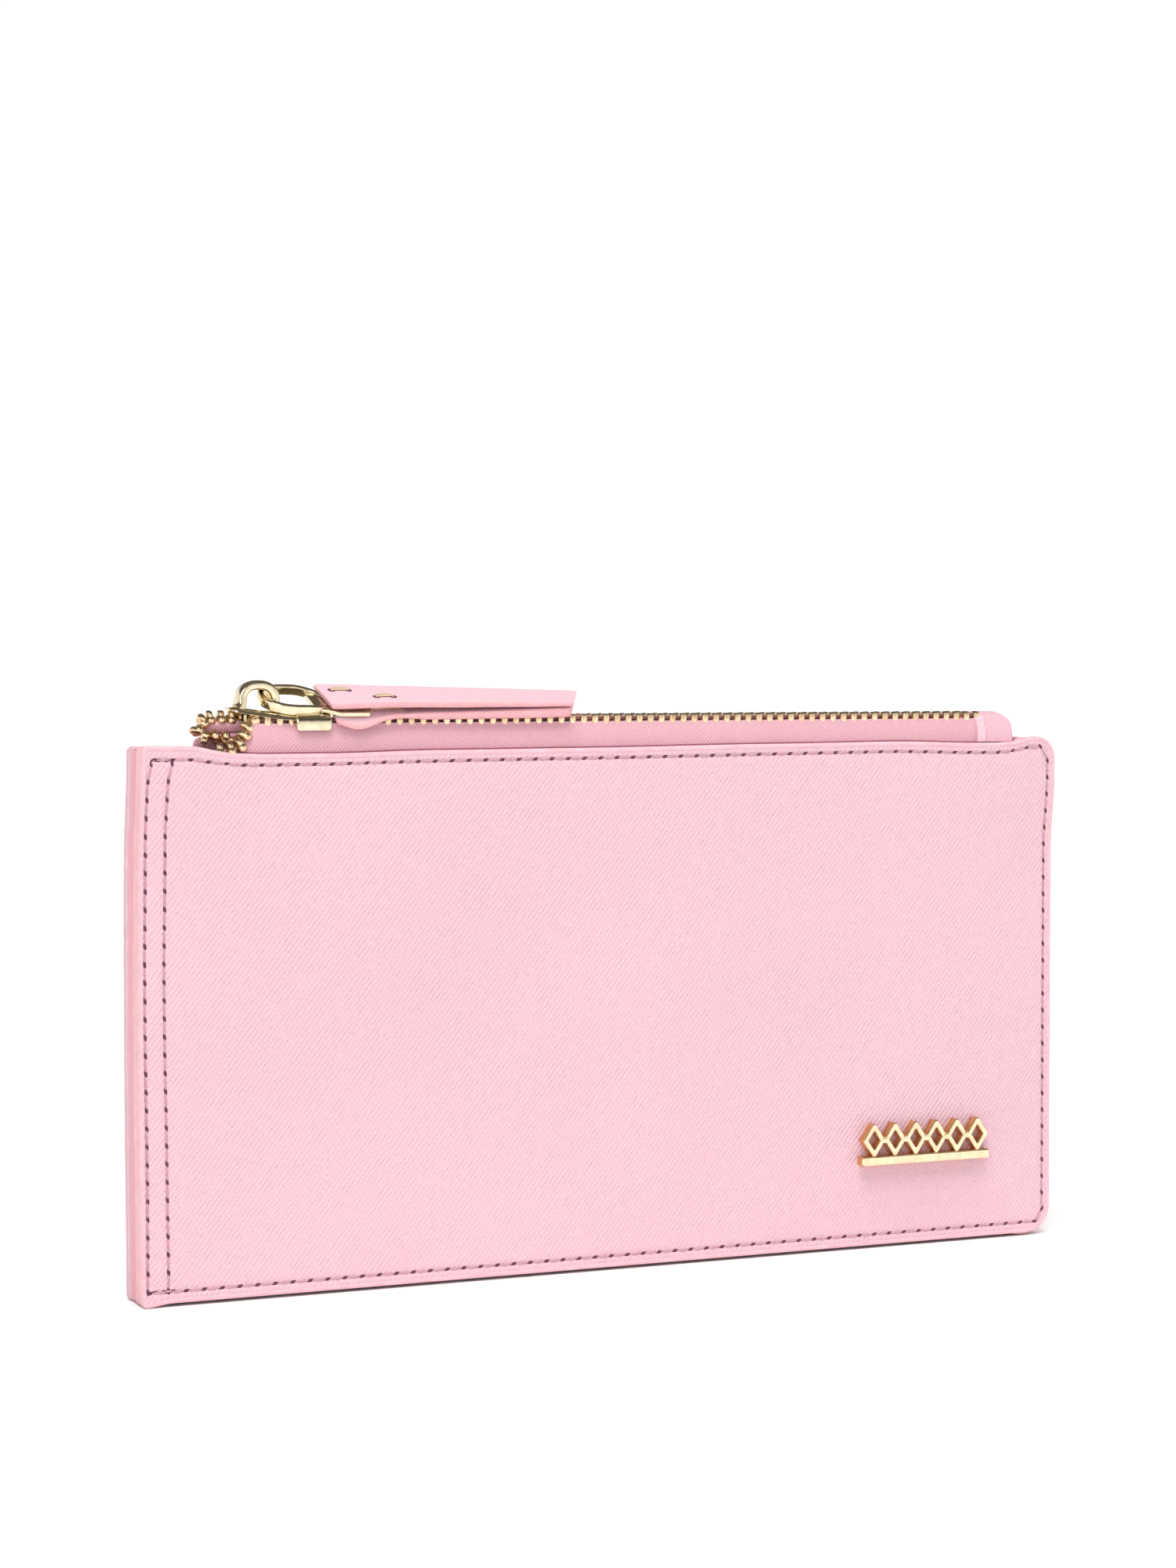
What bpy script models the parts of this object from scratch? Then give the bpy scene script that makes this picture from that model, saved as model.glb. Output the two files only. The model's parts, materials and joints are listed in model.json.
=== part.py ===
"""A long flat zip wallet: two layered leather walls sewn to a slim gusset, with a raised metal zip.

Frame: +X runs along the length to the right, +Y to the back, +Z up.
The origin is the centre of the flat base. Lengths are in metres.
"""

import math

import bmesh
import bpy
from mathutils import Vector

MM = 0.001
GAP = 0.3 * MM                      # running and touching clearance between pieces

# Pouch
WIDTH = 200 * MM
HEIGHT = 105 * MM
THICKNESS = 11.2 * MM
LEATHER = 1.2 * MM
BOARD = 0.7 * MM
LINING = 0.5 * MM
RIM = 4.2 * MM                      # in-plane width of the gusset strips
RIGHT_RADIUS = 4.8 * MM
LEFT_RADIUS = 1.2 * MM
RIM_RECESS = 0.4 * MM               # how far the gusset stands back at the two ends
POCKET_HEIGHT = 72 * MM

# Zip
TAPE = 0.6 * MM
TAPE_FOOT_Z = 95 * MM               # the tape's sewn edge inside the wall
TAPE_TOP_Z = 110.5 * MM
TAPE_LEAN = 0.3 * MM                # how far the standing tape leans in
TEETH_TOP_Z = 111.3 * MM
TEETH_HEIGHT = 1.8 * MM
TEETH_TIP_Y = 0.5 * MM              # the two rows leave a slit for the slider's wedge
TEETH_PITCH = 2.45 * MM
TOOTH_LENGTH = 0.9 * MM
BEAD_OUT_Y = 2.9 * MM
BEAD_IN_Y = 1.9 * MM
BEAD_HEIGHT = 1.1 * MM
CHAIN_RIGHT_X = 78.7 * MM
CHAIN_TURN_X = -84.5 * MM           # here each row turns down into the mouth
CHAIN_TURN_RADIUS = 2.5 * MM
CHAIN_TAIL_Z = 105.4 * MM
TAB_LEFT_X = 81.2 * MM
TAB_RIGHT_X = 90.8 * MM
TAB_SKIN = 0.5 * MM
TAB_CORNER = 3.5 * MM
TAPE_RIGHT_X = TAB_RIGHT_X - TAB_SKIN - TAB_CORNER - GAP

# Slider and pull
SLIDER_TAIL_X = -61.5 * MM
SLIDER_LENGTH = 20.8 * MM
SLIDER_TRAVEL = 140 * MM
PLATE = 0.8 * MM
PLATE_NOSE_Z = 112.8 * MM
PLATE_TAIL_Z = 112.4 * MM
PLATE_DROP = 1.7 * MM               # how far the domed plate falls at its widest
PLATE_HALF_WIDTH = 4.75 * MM
# The plate's half width in mm, against the share of its length from the tail
PLATE_WIDTHS = [
    (0, 3.7), (0.05, 4.2), (0.3, 4.35), (0.55, 4.6), (0.8, 4.75), (0.9, 4.4), (0.96, 3.6), (1, 2.2)
]
CROWN_X = -75.1 * MM
CROWN_Z = 114.1 * MM
CROWN_IN_RADIUS = 2.6 * MM
CROWN_OUT_RADIUS = 4.1 * MM
CROWN_BREADTH = 3.0 * MM
FLANGE_LENGTH = 7.2 * MM
FLANGE = [(4.3, 108.7), (5.0, 108.7), (5.0, 110.9), (3.9, 111.75), (3.7, 111.4), (4.3, 110.7)]  # y, z in mm
PIVOT_X = -74.3 * MM
PIVOT_Z = 114.7 * MM
RING_HALF_LENGTH = 6.3 * MM
RING_HALF_WIDTH = 4.6 * MM
RING_WIRE = 0.8 * MM
RING_ROLL = math.radians(22)
PULL_ROLL = math.radians(12)        # the pull lies with its near side lower
PLY = 1.2 * MM
TONGUE = 1.0 * MM
TONGUE_LOW = -0.9 * MM              # the tongue's underside, below the pivot
PLY_GAP = 0.25 * MM
PULL_WIDTH = 12 * MM
PULL_LEFT = 14.1 * MM               # along the pull, from the pivot
PULL_RIGHT = 66.6 * MM
STAPLE_SPAN = 3.5 * MM
STAPLE_WIRE = 0.35 * MM
STAPLES = {"pull_staple_inner": (15.3 * MM, 2 * MM), "pull_staple_outer": (23.2 * MM, -2 * MM)}

# Badge
BADGE_X = 68.6 * MM
BADGE_LOW_Z = 16.4 * MM
BADGE_WIDTH = 32.6 * MM
BADGE_BAR = 2.2 * MM
BADGE_HEIGHT = 11 * MM
BADGE_DEPTH = 1.1 * MM
BADGE_LOZENGES = 6
PRONG_SPREAD = 11 * MM
PRONG = 0.4 * MM

# Levels across the pouch, each measured from the middle plane
OUT_Y = THICKNESS / 2
LEATHER_IN_Y = OUT_Y - LEATHER
BOARD_OUT_Y = LEATHER_IN_Y - GAP
BOARD_IN_Y = BOARD_OUT_Y - BOARD
LINING_OUT_Y = BOARD_IN_Y - GAP
LINING_IN_Y = LINING_OUT_Y - LINING
GUSSET_Y = LINING_IN_Y - GAP
TEETH_LOW_Z = TEETH_TOP_Z - TEETH_HEIGHT
TEETH_MID_Z = TEETH_TOP_Z - TEETH_HEIGHT / 2
TAPE_Y = BOARD_OUT_Y - TAPE / 2

COLOURS = {
    "saffiano_pink": ((0.93, 0.52, 0.60), 0.45, 0.0),
    "gusset_pink": ((0.84, 0.38, 0.45), 0.5, 0.0),
    "board_grey": ((0.45, 0.42, 0.40), 0.9, 0.0),
    "lining_rose": ((0.75, 0.40, 0.46), 0.85, 0.0),
    "tape_pink": ((0.88, 0.45, 0.55), 0.8, 0.0),
    "zip_brass": ((0.76, 0.60, 0.36), 0.3, 1.0),
    "hardware_gold": ((0.83, 0.69, 0.45), 0.18, 1.0),
    "badge_gold": ((0.90, 0.68, 0.30), 0.2, 1.0),
    "washer_steel": ((0.62, 0.61, 0.58), 0.4, 1.0),
}


# Tools for making solids

def material(name):
    """The named material, made the first time it is asked for."""
    found = bpy.data.materials.get(name)
    if found:
        return found
    colour, roughness, metallic = COLOURS[name]
    made = bpy.data.materials.new(name)
    made.use_nodes = True
    shader = made.node_tree.nodes["Principled BSDF"]
    shader.inputs["Base Color"].default_value = (*colour, 1.0)
    shader.inputs["Roughness"].default_value = roughness
    shader.inputs["Metallic"].default_value = metallic
    return made


def solid(name, rings, stuff, closed=False, smooth=False):
    """A solid through equal rings of points: capped at both ends, or closed into a loop."""
    shape = bmesh.new()
    rows = [[shape.verts.new(point) for point in ring] for ring in rings]
    count = len(rows[0])
    steps = len(rows) if closed else len(rows) - 1
    for row in range(steps):
        here, there = rows[row], rows[(row + 1) % len(rows)]
        for i in range(count):
            j = (i + 1) % count
            shape.faces.new((here[i], here[j], there[j], there[i]))
    if not closed:
        shape.faces.new(list(reversed(rows[0])))
        shape.faces.new(rows[-1])
    bmesh.ops.recalc_face_normals(shape, faces=shape.faces)
    if shape.calc_volume(signed=True) < 0:
        bmesh.ops.reverse_faces(shape, faces=shape.faces)
    mesh = bpy.data.meshes.new(name)
    shape.to_mesh(mesh)
    shape.free()
    made = bpy.data.objects.new(name, mesh)
    bpy.context.scene.collection.objects.link(made)
    mesh.materials.append(material(stuff))
    if smooth:
        mesh.shade_smooth()
        mesh.set_sharp_from_angle(angle=math.radians(40))
    return made


def block(name, low, high, stuff):
    """A box between two corners."""
    (x0, y0, z0), (x1, y1, z1) = low, high
    ring = [(y0, z0), (y1, z0), (y1, z1), (y0, z1)]
    return solid(name, [[(x, y, z) for y, z in ring] for x in (x0, x1)], stuff)


def slab(name, outline, low_y, high_y, stuff):
    """An outline in the XZ plane, extruded along Y."""
    return solid(name, [[(x, y, z) for x, z in outline] for y in (low_y, high_y)], stuff)


def rod(name, centre, radius, low_z, high_z, stuff, sides=12):
    """A round rod along Z."""
    turn = [2 * math.pi * i / sides for i in range(sides)]
    ring = [(centre[0] + radius * math.cos(a), centre[1] + radius * math.sin(a)) for a in turn]
    return solid(name, [[(x, y, z) for x, y in ring] for z in (low_z, high_z)], stuff)


def combine(base, tools, operation):
    """Joins the tools to the base, or cuts them out of it, and removes them."""
    for tool in tools:
        step = base.modifiers.new(operation.lower(), "BOOLEAN")
        step.operation = operation
        step.solver = "EXACT"
        step.object = tool
    graph = bpy.context.evaluated_depsgraph_get()
    mesh = bpy.data.meshes.new_from_object(base.evaluated_get(graph))
    base.modifiers.clear()
    base.data = mesh
    mesh.name = base.name
    for tool in tools:
        bpy.data.objects.remove(tool)
    return base


def arc(x, z, radius, start, end, steps=6):
    """Points on an arc in the XZ plane, angles in degrees."""
    turn = [math.radians(start + (end - start) * i / steps) for i in range(steps + 1)]
    return [(x + radius * math.cos(a), z + radius * math.sin(a)) for a in turn]


def rounded(left, right, low, high, left_radius, right_radius):
    """A rectangle in the XZ plane whose left and right corners have their own radii."""
    near, far = left_radius, right_radius
    return (
        arc(right - far, low + far, far, -90, 0)
        + arc(right - far, high - far, far, 0, 90)
        + arc(left + near, high - near, near, 90, 180, 3)
        + arc(left + near, low + near, near, 180, 270, 3)
    )


def mirrored(outline_y, side):
    """A (y, z) outline on the front (-1) or the back (+1)."""
    return [(side * y, z) for y, z in outline_y]


# Pouch

def wall_outline(inset, top):
    """The walls' outline, a given distance inside the pouch's edge."""
    return rounded(
        -WIDTH / 2 + inset, WIDTH / 2 - inset, inset, top,
        max(LEFT_RADIUS - inset, 0.3 * MM), max(RIGHT_RADIUS - inset, 1 * MM),
    )


def prong_places():
    """Where the badge's two prongs go through the front wall."""
    z = BADGE_LOW_Z + BADGE_HEIGHT / 2
    return [(BADGE_X + side * PRONG_SPREAD, z) for side in (-1, 1)]


def prong_slots(low_y, high_y):
    """Cutters for the two prongs."""
    reach = PRONG + GAP
    return [
        block("slot", (x - reach, low_y, z - reach), (x + reach, high_y, z + reach), "board_grey")
        for x, z in prong_places()
    ]


def make_walls():
    """Leather, stiffening board and lining, front and back."""
    spare = 1 * MM
    window = (BADGE_WIDTH * 0.45, BADGE_HEIGHT * 0.32)
    middle = BADGE_LOW_Z + BADGE_HEIGHT / 2
    for side, place in ((-1, "front"), (1, "back")):
        leather = slab(
            place + "_panel", wall_outline(0, HEIGHT), side * OUT_Y, side * LEATHER_IN_Y,
            "saffiano_pink",
        )
        board = slab(
            place + "_board", wall_outline(0.6 * MM, TAPE_FOOT_Z - 0.5 * MM),
            side * BOARD_OUT_Y, side * BOARD_IN_Y, "board_grey",
        )
        slab(
            place + "_lining", wall_outline(0.6 * MM, HEIGHT - 1 * MM),
            side * LINING_OUT_Y, side * LINING_IN_Y, "lining_rose",
        )
        if side < 0:
            combine(leather, prong_slots(-OUT_Y - spare, -LEATHER_IN_Y + spare / 5), "DIFFERENCE")
            opening = block(
                "window",
                (BADGE_X - window[0], -BOARD_OUT_Y - spare / 5, middle - window[1]),
                (BADGE_X + window[0], -BOARD_IN_Y + spare / 5, middle + window[1]), "board_grey",
            )
            combine(board, [opening], "DIFFERENCE")
            washer = block(
                "badge_washer",
                (BADGE_X - window[0] + GAP, -BOARD_OUT_Y + 0.05 * MM, middle - window[1] + GAP),
                (BADGE_X + window[0] - GAP, -BOARD_IN_Y - 0.05 * MM, middle + window[1] - GAP),
                "washer_steel",
            )
            combine(washer, prong_slots(-BOARD_OUT_Y - spare, -BOARD_IN_Y + spare), "DIFFERENCE")


def make_gussets():
    """The strips that hold the two walls apart along the ends and the base."""
    inner = WIDTH / 2 - RIM
    outer = WIDTH / 2 - RIM_RECESS
    top = HEIGHT - 1 * MM
    left = [(-inner, 0), (-inner, top)]
    left += arc(-outer + LEFT_RADIUS, top - LEFT_RADIUS, LEFT_RADIUS, 90, 180, 3)
    left += arc(-outer + LEFT_RADIUS, LEFT_RADIUS, LEFT_RADIUS, 180, 270, 3)
    slab("gusset_left", left, -GUSSET_Y, GUSSET_Y, "gusset_pink")
    corner = outer - inner
    right = [(inner, top)]
    right += [(inner, 0)]
    right += arc(outer - corner, corner, corner, -90, 0)[1:]
    right += arc(outer - corner, top - corner, corner, 0, 90)[:-1]
    slab("gusset_right", right, -GUSSET_Y, GUSSET_Y, "gusset_pink")
    reach = inner - GAP
    block("gusset_bottom", (-reach, -GUSSET_Y, 0), (reach, GUSSET_Y, RIM), "gusset_pink")


def make_pocket():
    """A slip pocket against the back lining, open at its top."""
    reach = WIDTH / 2 - RIM - GAP
    outside = LINING_IN_Y - GAP
    block(
        "slip_pocket", (-reach, outside - LINING, RIM + GAP), (reach, outside, POCKET_HEIGHT),
        "lining_rose",
    )


# Zip

def make_tapes():
    """Each tape is sewn inside its wall and stands above it, leaning to the teeth."""
    half = TAPE / 2
    line = [(TAPE_Y, TAPE_FOOT_Z), (TAPE_Y, HEIGHT + GAP), (TAPE_Y - TAPE_LEAN, TAPE_TOP_Z)]
    outline = [(y + half, z) for y, z in line] + [(y - half, z) for y, z in reversed(line)]
    for side, place in ((-1, "front"), (1, "back")):
        ring = mirrored(outline, side)
        ends = (CHAIN_TURN_X, TAPE_RIGHT_X)
        solid("zip_tape_" + place, [[(x, y, z) for y, z in ring] for x in ends], "tape_pink")


def chain_point(length):
    """Place and direction (in XZ) of the chain at a distance along it from its right end."""
    straight = CHAIN_RIGHT_X - CHAIN_TURN_X
    if length <= straight:
        return Vector((CHAIN_RIGHT_X - length, TEETH_MID_Z)), Vector((-1, 0))
    angle = (length - straight) / CHAIN_TURN_RADIUS
    centre_z = TEETH_MID_Z - CHAIN_TURN_RADIUS
    if angle < math.pi / 2:
        place = Vector((
            CHAIN_TURN_X - CHAIN_TURN_RADIUS * math.sin(angle),
            centre_z + CHAIN_TURN_RADIUS * math.cos(angle),
        ))
        return place, Vector((-math.cos(angle), -math.sin(angle)))
    fallen = (angle - math.pi / 2) * CHAIN_TURN_RADIUS
    return Vector((CHAIN_TURN_X - CHAIN_TURN_RADIUS, centre_z - fallen)), Vector((0, -1))


def make_chain():
    """Two toothed rows: a corded bead with a tooth at each pitch, set half a pitch apart."""
    turn = CHAIN_TURN_RADIUS * math.pi / 2
    total = CHAIN_RIGHT_X - CHAIN_TURN_X + turn
    total += TEETH_MID_Z - CHAIN_TURN_RADIUS - CHAIN_TAIL_Z
    for side, place, shift in ((-1, "front", 0.0), (1, "back", TEETH_PITCH / 2)):
        stations = [(0.0, False)]
        start = 0.4 * MM + shift
        while start + TOOTH_LENGTH < total - 0.2 * MM:
            stations += [(start, False), (start, True)]
            stations += [(start + TOOTH_LENGTH, True), (start + TOOTH_LENGTH, False)]
            start += TEETH_PITCH
        stations.append((total, False))
        rings = []
        for length, tooth in stations:
            at, along = chain_point(length)
            up = Vector((-along.y, along.x)) * (-1 if along.x < 0 or along.y < 0 else 1)
            tip = (TEETH_TIP_Y, TEETH_HEIGHT / 2) if tooth else (BEAD_IN_Y, BEAD_HEIGHT / 2)
            section = [
                (BEAD_OUT_Y, -BEAD_HEIGHT / 2), (BEAD_OUT_Y, BEAD_HEIGHT / 2),
                (tip[0], tip[1]), (tip[0], -tip[1]),
            ]
            rings.append([(at.x + up.x * h, side * y, at.y + up.y * h) for y, h in section])
        solid("zip_teeth_" + place, rings, "zip_brass")


def make_zip_end():
    """The bottom stop, and the folded leather tab over the ends of the tapes."""
    left = CHAIN_RIGHT_X + GAP
    block(
        "zip_stop", (left, -2.6 * MM, TEETH_LOW_Z), (left + 1.8 * MM, 2.6 * MM, TEETH_TOP_Z - 0.1 * MM),
        "zip_brass",
    )
    foot = HEIGHT + GAP
    top = TAPE_TOP_Z + 0.25 * MM + TAB_SKIN
    half = TAPE_Y + TAPE / 2 + GAP + TAB_SKIN
    corner = TAB_CORNER

    def shell(grow, ends, floor):
        """Rings of an arched cover that rounds down at its right end."""
        rings = []
        for x in ends:
            over = max(0.0, x - (TAB_RIGHT_X - grow - corner)) / corner
            fall = corner * (1 - math.sqrt(max(0.0, 1 - over * over)))
            crest = top - grow - fall
            wide = half - grow
            shoulder = crest - 0.9 * MM
            rings.append([
                (x, -wide, floor), (x, wide, floor), (x, wide, shoulder),
                (x, wide - 0.7 * MM, crest), (x, -wide + 0.7 * MM, crest), (x, -wide, shoulder),
            ])
        return rings

    def stops(start, grow):
        """Where the rings stand: the left end, then closer together round the corner."""
        end = TAB_RIGHT_X - grow
        return [start] + [end - corner * (1 - math.sin(math.radians(a))) for a in (0, 25, 50, 70, 85)]

    tab = solid("zip_end_tab", shell(0, stops(TAB_LEFT_X, 0), foot), "saffiano_pink")
    hollow = solid(
        "hollow", shell(TAB_SKIN, stops(TAB_LEFT_X - 1 * MM, TAB_SKIN), foot - 1 * MM), "saffiano_pink"
    )
    combine(tab, [hollow], "DIFFERENCE")


# Slider

def plate_half_width(share):
    """Half the plate's width, from 0 at the tail to 1 at the nose."""
    for (s0, w0), (s1, w1) in zip(PLATE_WIDTHS, PLATE_WIDTHS[1:]):
        if share <= s1:
            return (w0 + (w1 - w0) * (share - s0) / (s1 - s0)) * MM
    return PLATE_WIDTHS[-1][1] * MM


def make_slider():
    """Domed top plate with turned-down flanges, a wedge at the nose and a lower plate."""
    nose = SLIDER_TAIL_X - SLIDER_LENGTH
    across = [-1, -0.9, -0.75, -0.5, 0, 0.5, 0.75, 0.9, 1]
    rings = []
    for share, _ in PLATE_WIDTHS:
        x = SLIDER_TAIL_X - SLIDER_LENGTH * share
        wide = plate_half_width(share)
        crest = PLATE_TAIL_Z + (PLATE_NOSE_Z - PLATE_TAIL_Z) * share
        top = [(u * wide, crest - PLATE_DROP * (abs(u) * wide / PLATE_HALF_WIDTH) ** 4) for u in across]
        under = [(y, z - PLATE) for y, z in reversed(top)]
        rings.append([(x, y, z) for y, z in top + under])
    body = solid("slider_body", rings, "hardware_gold")
    low = TEETH_LOW_Z - GAP - PLATE
    tools = []
    for side in (-1, 1):
        ring = [(side * y * MM, z * MM) for y, z in FLANGE]
        ends = (SLIDER_TAIL_X - FLANGE_LENGTH, SLIDER_TAIL_X - 0.3 * MM)
        tools.append(solid("flange", [[(x, y, z) for y, z in ring] for x in ends], "hardware_gold"))
    tools.append(block(
        "wedge", (nose + 1.2 * MM, -0.2 * MM, low + 0.2 * MM),
        (nose + 7 * MM, 0.2 * MM, PLATE_NOSE_Z - 0.5 * MM), "hardware_gold",
    ))
    tools.append(block(
        "lower_plate", (nose + 0.8 * MM, -2.6 * MM, low),
        (SLIDER_TAIL_X - 0.3 * MM, 2.6 * MM, low + PLATE), "hardware_gold",
    ))
    combine(body, tools, "UNION")
    return body


def make_crown():
    """The arched loop on the slider that holds the pull, as a bent strap with two feet."""
    foot = PLATE_NOSE_Z + GAP / 3
    outer = [(CROWN_X + CROWN_OUT_RADIUS, foot)]
    outer += arc(CROWN_X, CROWN_Z, CROWN_OUT_RADIUS, 0, 180, 16)
    outer += [(CROWN_X - CROWN_OUT_RADIUS, foot)]
    inner = [(CROWN_X - CROWN_IN_RADIUS, foot)]
    inner += arc(CROWN_X, CROWN_Z, CROWN_IN_RADIUS, 180, 0, 14)
    inner += [(CROWN_X + CROWN_IN_RADIUS, foot)]
    half = CROWN_BREADTH / 2
    return slab("slider_crown", outer + inner, -half, half, "hardware_gold")


# Pull

def place_on_pull(made, roll=PULL_ROLL):
    """Puts a piece made about the pivot in its place, rolled about the pull's length."""
    made.location = (PIVOT_X, 0, PIVOT_Z)
    made.rotation_euler = (roll, 0, 0)
    return made


def ring_point(turn):
    """Point and outward direction of the link's centre line, a slightly squared oval."""
    c, s = math.cos(turn), math.sin(turn)
    power = 0.86
    x = RING_HALF_LENGTH * math.copysign(abs(c) ** power, c)
    y = RING_HALF_WIDTH * math.copysign(abs(s) ** power, s)
    return Vector((RING_HALF_LENGTH + x, y, 0))


def make_link():
    """One casting: the oval ring through the crown, and the tongue between the plies."""
    steps, sides = 40, 10
    rings = []
    for i in range(steps):
        turn = 2 * math.pi * i / steps
        at = ring_point(turn)
        along = (ring_point(turn + 0.05) - ring_point(turn - 0.05)).normalized()
        out = along.cross(Vector((0, 0, 1)))
        ring = []
        for k in range(sides):
            a = 2 * math.pi * (k + 0.5) / sides
            ring.append(at + out * RING_WIRE * math.cos(a) + Vector((0, 0, RING_WIRE * math.sin(a))))
        rings.append(ring)
    link = solid("pull_link", rings, "hardware_gold", closed=True, smooth=True)
    link.rotation_euler = (RING_ROLL - PULL_ROLL, 0, 0)
    bpy.context.view_layer.update()
    head, shank = PULL_WIDTH / 2 - 0.3 * MM, 3.5 * MM
    outline = [
        (12.2 * MM, 2.6 * MM), (14.6 * MM, head), (21.0 * MM, head), (22.0 * MM, shank), (28.4 * MM, shank)
    ]
    outline += [(x, -y) for x, y in reversed(outline)]
    high = TONGUE_LOW + TONGUE
    tongue = solid("tongue", [[(x, y, z) for x, y in outline] for z in (TONGUE_LOW, high)], "hardware_gold")
    link.data.transform(link.matrix_world)
    link.rotation_euler = (0, 0, 0)
    bpy.context.view_layer.update()
    combine(link, [tongue], "UNION")
    combine(link, staple_holes(TONGUE_LOW - 1 * MM, high + 1 * MM), "DIFFERENCE")
    return place_on_pull(link)


def staple_legs():
    """Where the staples' legs go through, along and across the pull."""
    return [(x + step, y) for x, y in STAPLES.values() for step in (0, STAPLE_SPAN)]


def staple_holes(low, high):
    """Cutters for the staples' legs."""
    reach = STAPLE_WIRE + GAP
    return [rod("hole", leg, reach, low, high, "hardware_gold", 8) for leg in staple_legs()]


def make_plies():
    """The two leather plies of the pull, above and below the tongue."""
    levels = {
        "pull_strap_upper": (TONGUE_LOW + TONGUE + PLY_GAP, PULL_RIGHT),
        "pull_strap_lower": (TONGUE_LOW - PLY_GAP - PLY, PULL_RIGHT - 1.2 * MM),
    }
    half = PULL_WIDTH / 2
    made = []
    for name, (bottom, right) in levels.items():
        corner = 1.5 * MM
        outline = (
            arc(right - corner, -half + corner, corner, -90, 0, 3)
            + arc(right - corner, half - corner, corner, 0, 90, 3)
            + [(PULL_LEFT, half), (PULL_LEFT, -half)]
        )
        rings = [[(x, y, z) for x, y in outline] for z in (bottom, bottom + PLY)]
        ply = solid(name, rings, "saffiano_pink")
        combine(ply, staple_holes(bottom - 1 * MM, bottom + PLY + 1 * MM), "DIFFERENCE")
        made.append(place_on_pull(ply))
    return made


def make_staples():
    """Two gilt staples that pin the plies to the tongue."""
    top = TONGUE_LOW + TONGUE + PLY_GAP + PLY + 0.2 * MM
    foot = TONGUE_LOW - PLY_GAP - PLY + 0.2 * MM
    made = []
    for name, (x, y) in STAPLES.items():
        bar = block(
            name, (x - STAPLE_WIRE, y - STAPLE_WIRE, top),
            (x + STAPLE_SPAN + STAPLE_WIRE, y + STAPLE_WIRE, top + 2 * STAPLE_WIRE), "hardware_gold",
        )
        legs = [
            rod("leg", (x + step, y), STAPLE_WIRE * 0.95, foot, top + STAPLE_WIRE, "hardware_gold", 8)
            for step in (0, STAPLE_SPAN)
        ]
        made.append(place_on_pull(combine(bar, legs, "UNION")))
    return made


# Badge

def make_badge():
    """A gilt bar that carries a row of open lozenges, with two prongs behind it."""
    back = -OUT_Y - GAP
    front = back - BADGE_DEPTH
    left = BADGE_X - BADGE_WIDTH / 2
    bar = block(
        "badge", (left, front, BADGE_LOW_Z), (left + BADGE_WIDTH, back, BADGE_LOW_Z + BADGE_BAR),
        "badge_gold",
    )
    step = (BADGE_WIDTH - 1.6 * MM) / BADGE_LOZENGES
    start = left + 0.8 * MM
    low = BADGE_LOW_Z + BADGE_BAR - 1.2 * MM
    high = BADGE_LOW_Z + BADGE_HEIGHT
    middle = (low + high) / 2
    waist = 0.7 * MM
    upper = [(start, middle + waist)]
    for i in range(BADGE_LOZENGES):
        centre = start + step * (i + 0.5)
        upper += [(centre - 0.3 * MM, high), (centre + 0.3 * MM, high), (centre + step / 2, middle + waist)]
    lower = [(x, 2 * middle - z) for x, z in reversed(upper)]
    row = slab("row", upper + lower, front + 0.2 * MM, back - 0.05 * MM, "badge_gold")
    prongs = [
        block(
            "prong", (x - PRONG, back - 0.4 * MM, z - PRONG),
            (x + PRONG, -BOARD_IN_Y - 0.1 * MM, z + PRONG), "badge_gold",
        )
        for x, z in prong_places()
    ]
    combine(bar, [row] + prongs, "UNION")
    windows = []
    for i in range(BADGE_LOZENGES):
        centre = start + step * (i + 0.5)
        wide, tall = step / 2 - 1.0 * MM, (high - middle) * 0.62
        if any(abs(centre - x) < step / 2 for x, _ in prong_places()):
            continue
        diamond = [
            (centre + wide, middle), (centre, middle + tall), (centre - wide, middle), (centre, middle - tall)
        ]
        windows.append(slab("window", diamond, front - 1 * MM, back + 1 * MM, "badge_gold"))
    return combine(bar, windows, "DIFFERENCE")


# Assembly

def carry(name, place, pieces, parent=None):
    """An empty on a joint's axis, with the pieces that move with it."""
    empty = bpy.data.objects.new(name, None)
    empty.location = place
    bpy.context.scene.collection.objects.link(empty)
    bpy.context.view_layer.update()
    if parent:
        empty.parent = parent
        empty.matrix_parent_inverse = parent.matrix_world.inverted()
        bpy.context.view_layer.update()
    for piece in pieces:
        piece.parent = empty
        piece.matrix_parent_inverse = empty.matrix_world.inverted()
    return empty


def build():
    """Clears the scene and builds the wallet."""
    for old in list(bpy.data.objects):
        bpy.data.objects.remove(old)
    make_walls()
    make_gussets()
    make_pocket()
    make_tapes()
    make_chain()
    make_zip_end()
    make_badge()
    slider_parts = [make_slider(), make_crown()]
    pull_parts = [make_link(), *make_plies(), *make_staples()]
    slider = carry("slider_travel_axis", (SLIDER_TAIL_X, 0, TEETH_MID_Z), slider_parts)
    carry("pull_swing_axis", (PIVOT_X, 0, PIVOT_Z), pull_parts, slider)


build()
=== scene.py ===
# The looks of a long pink zip wallet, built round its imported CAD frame.
# Lengths in this script are millimetres; they become metres when a mesh is made.
import json
from math import copysign, cos, exp, hypot, pi, radians, sin, sqrt

import bmesh
import bpy
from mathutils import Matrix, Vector, noise


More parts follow.
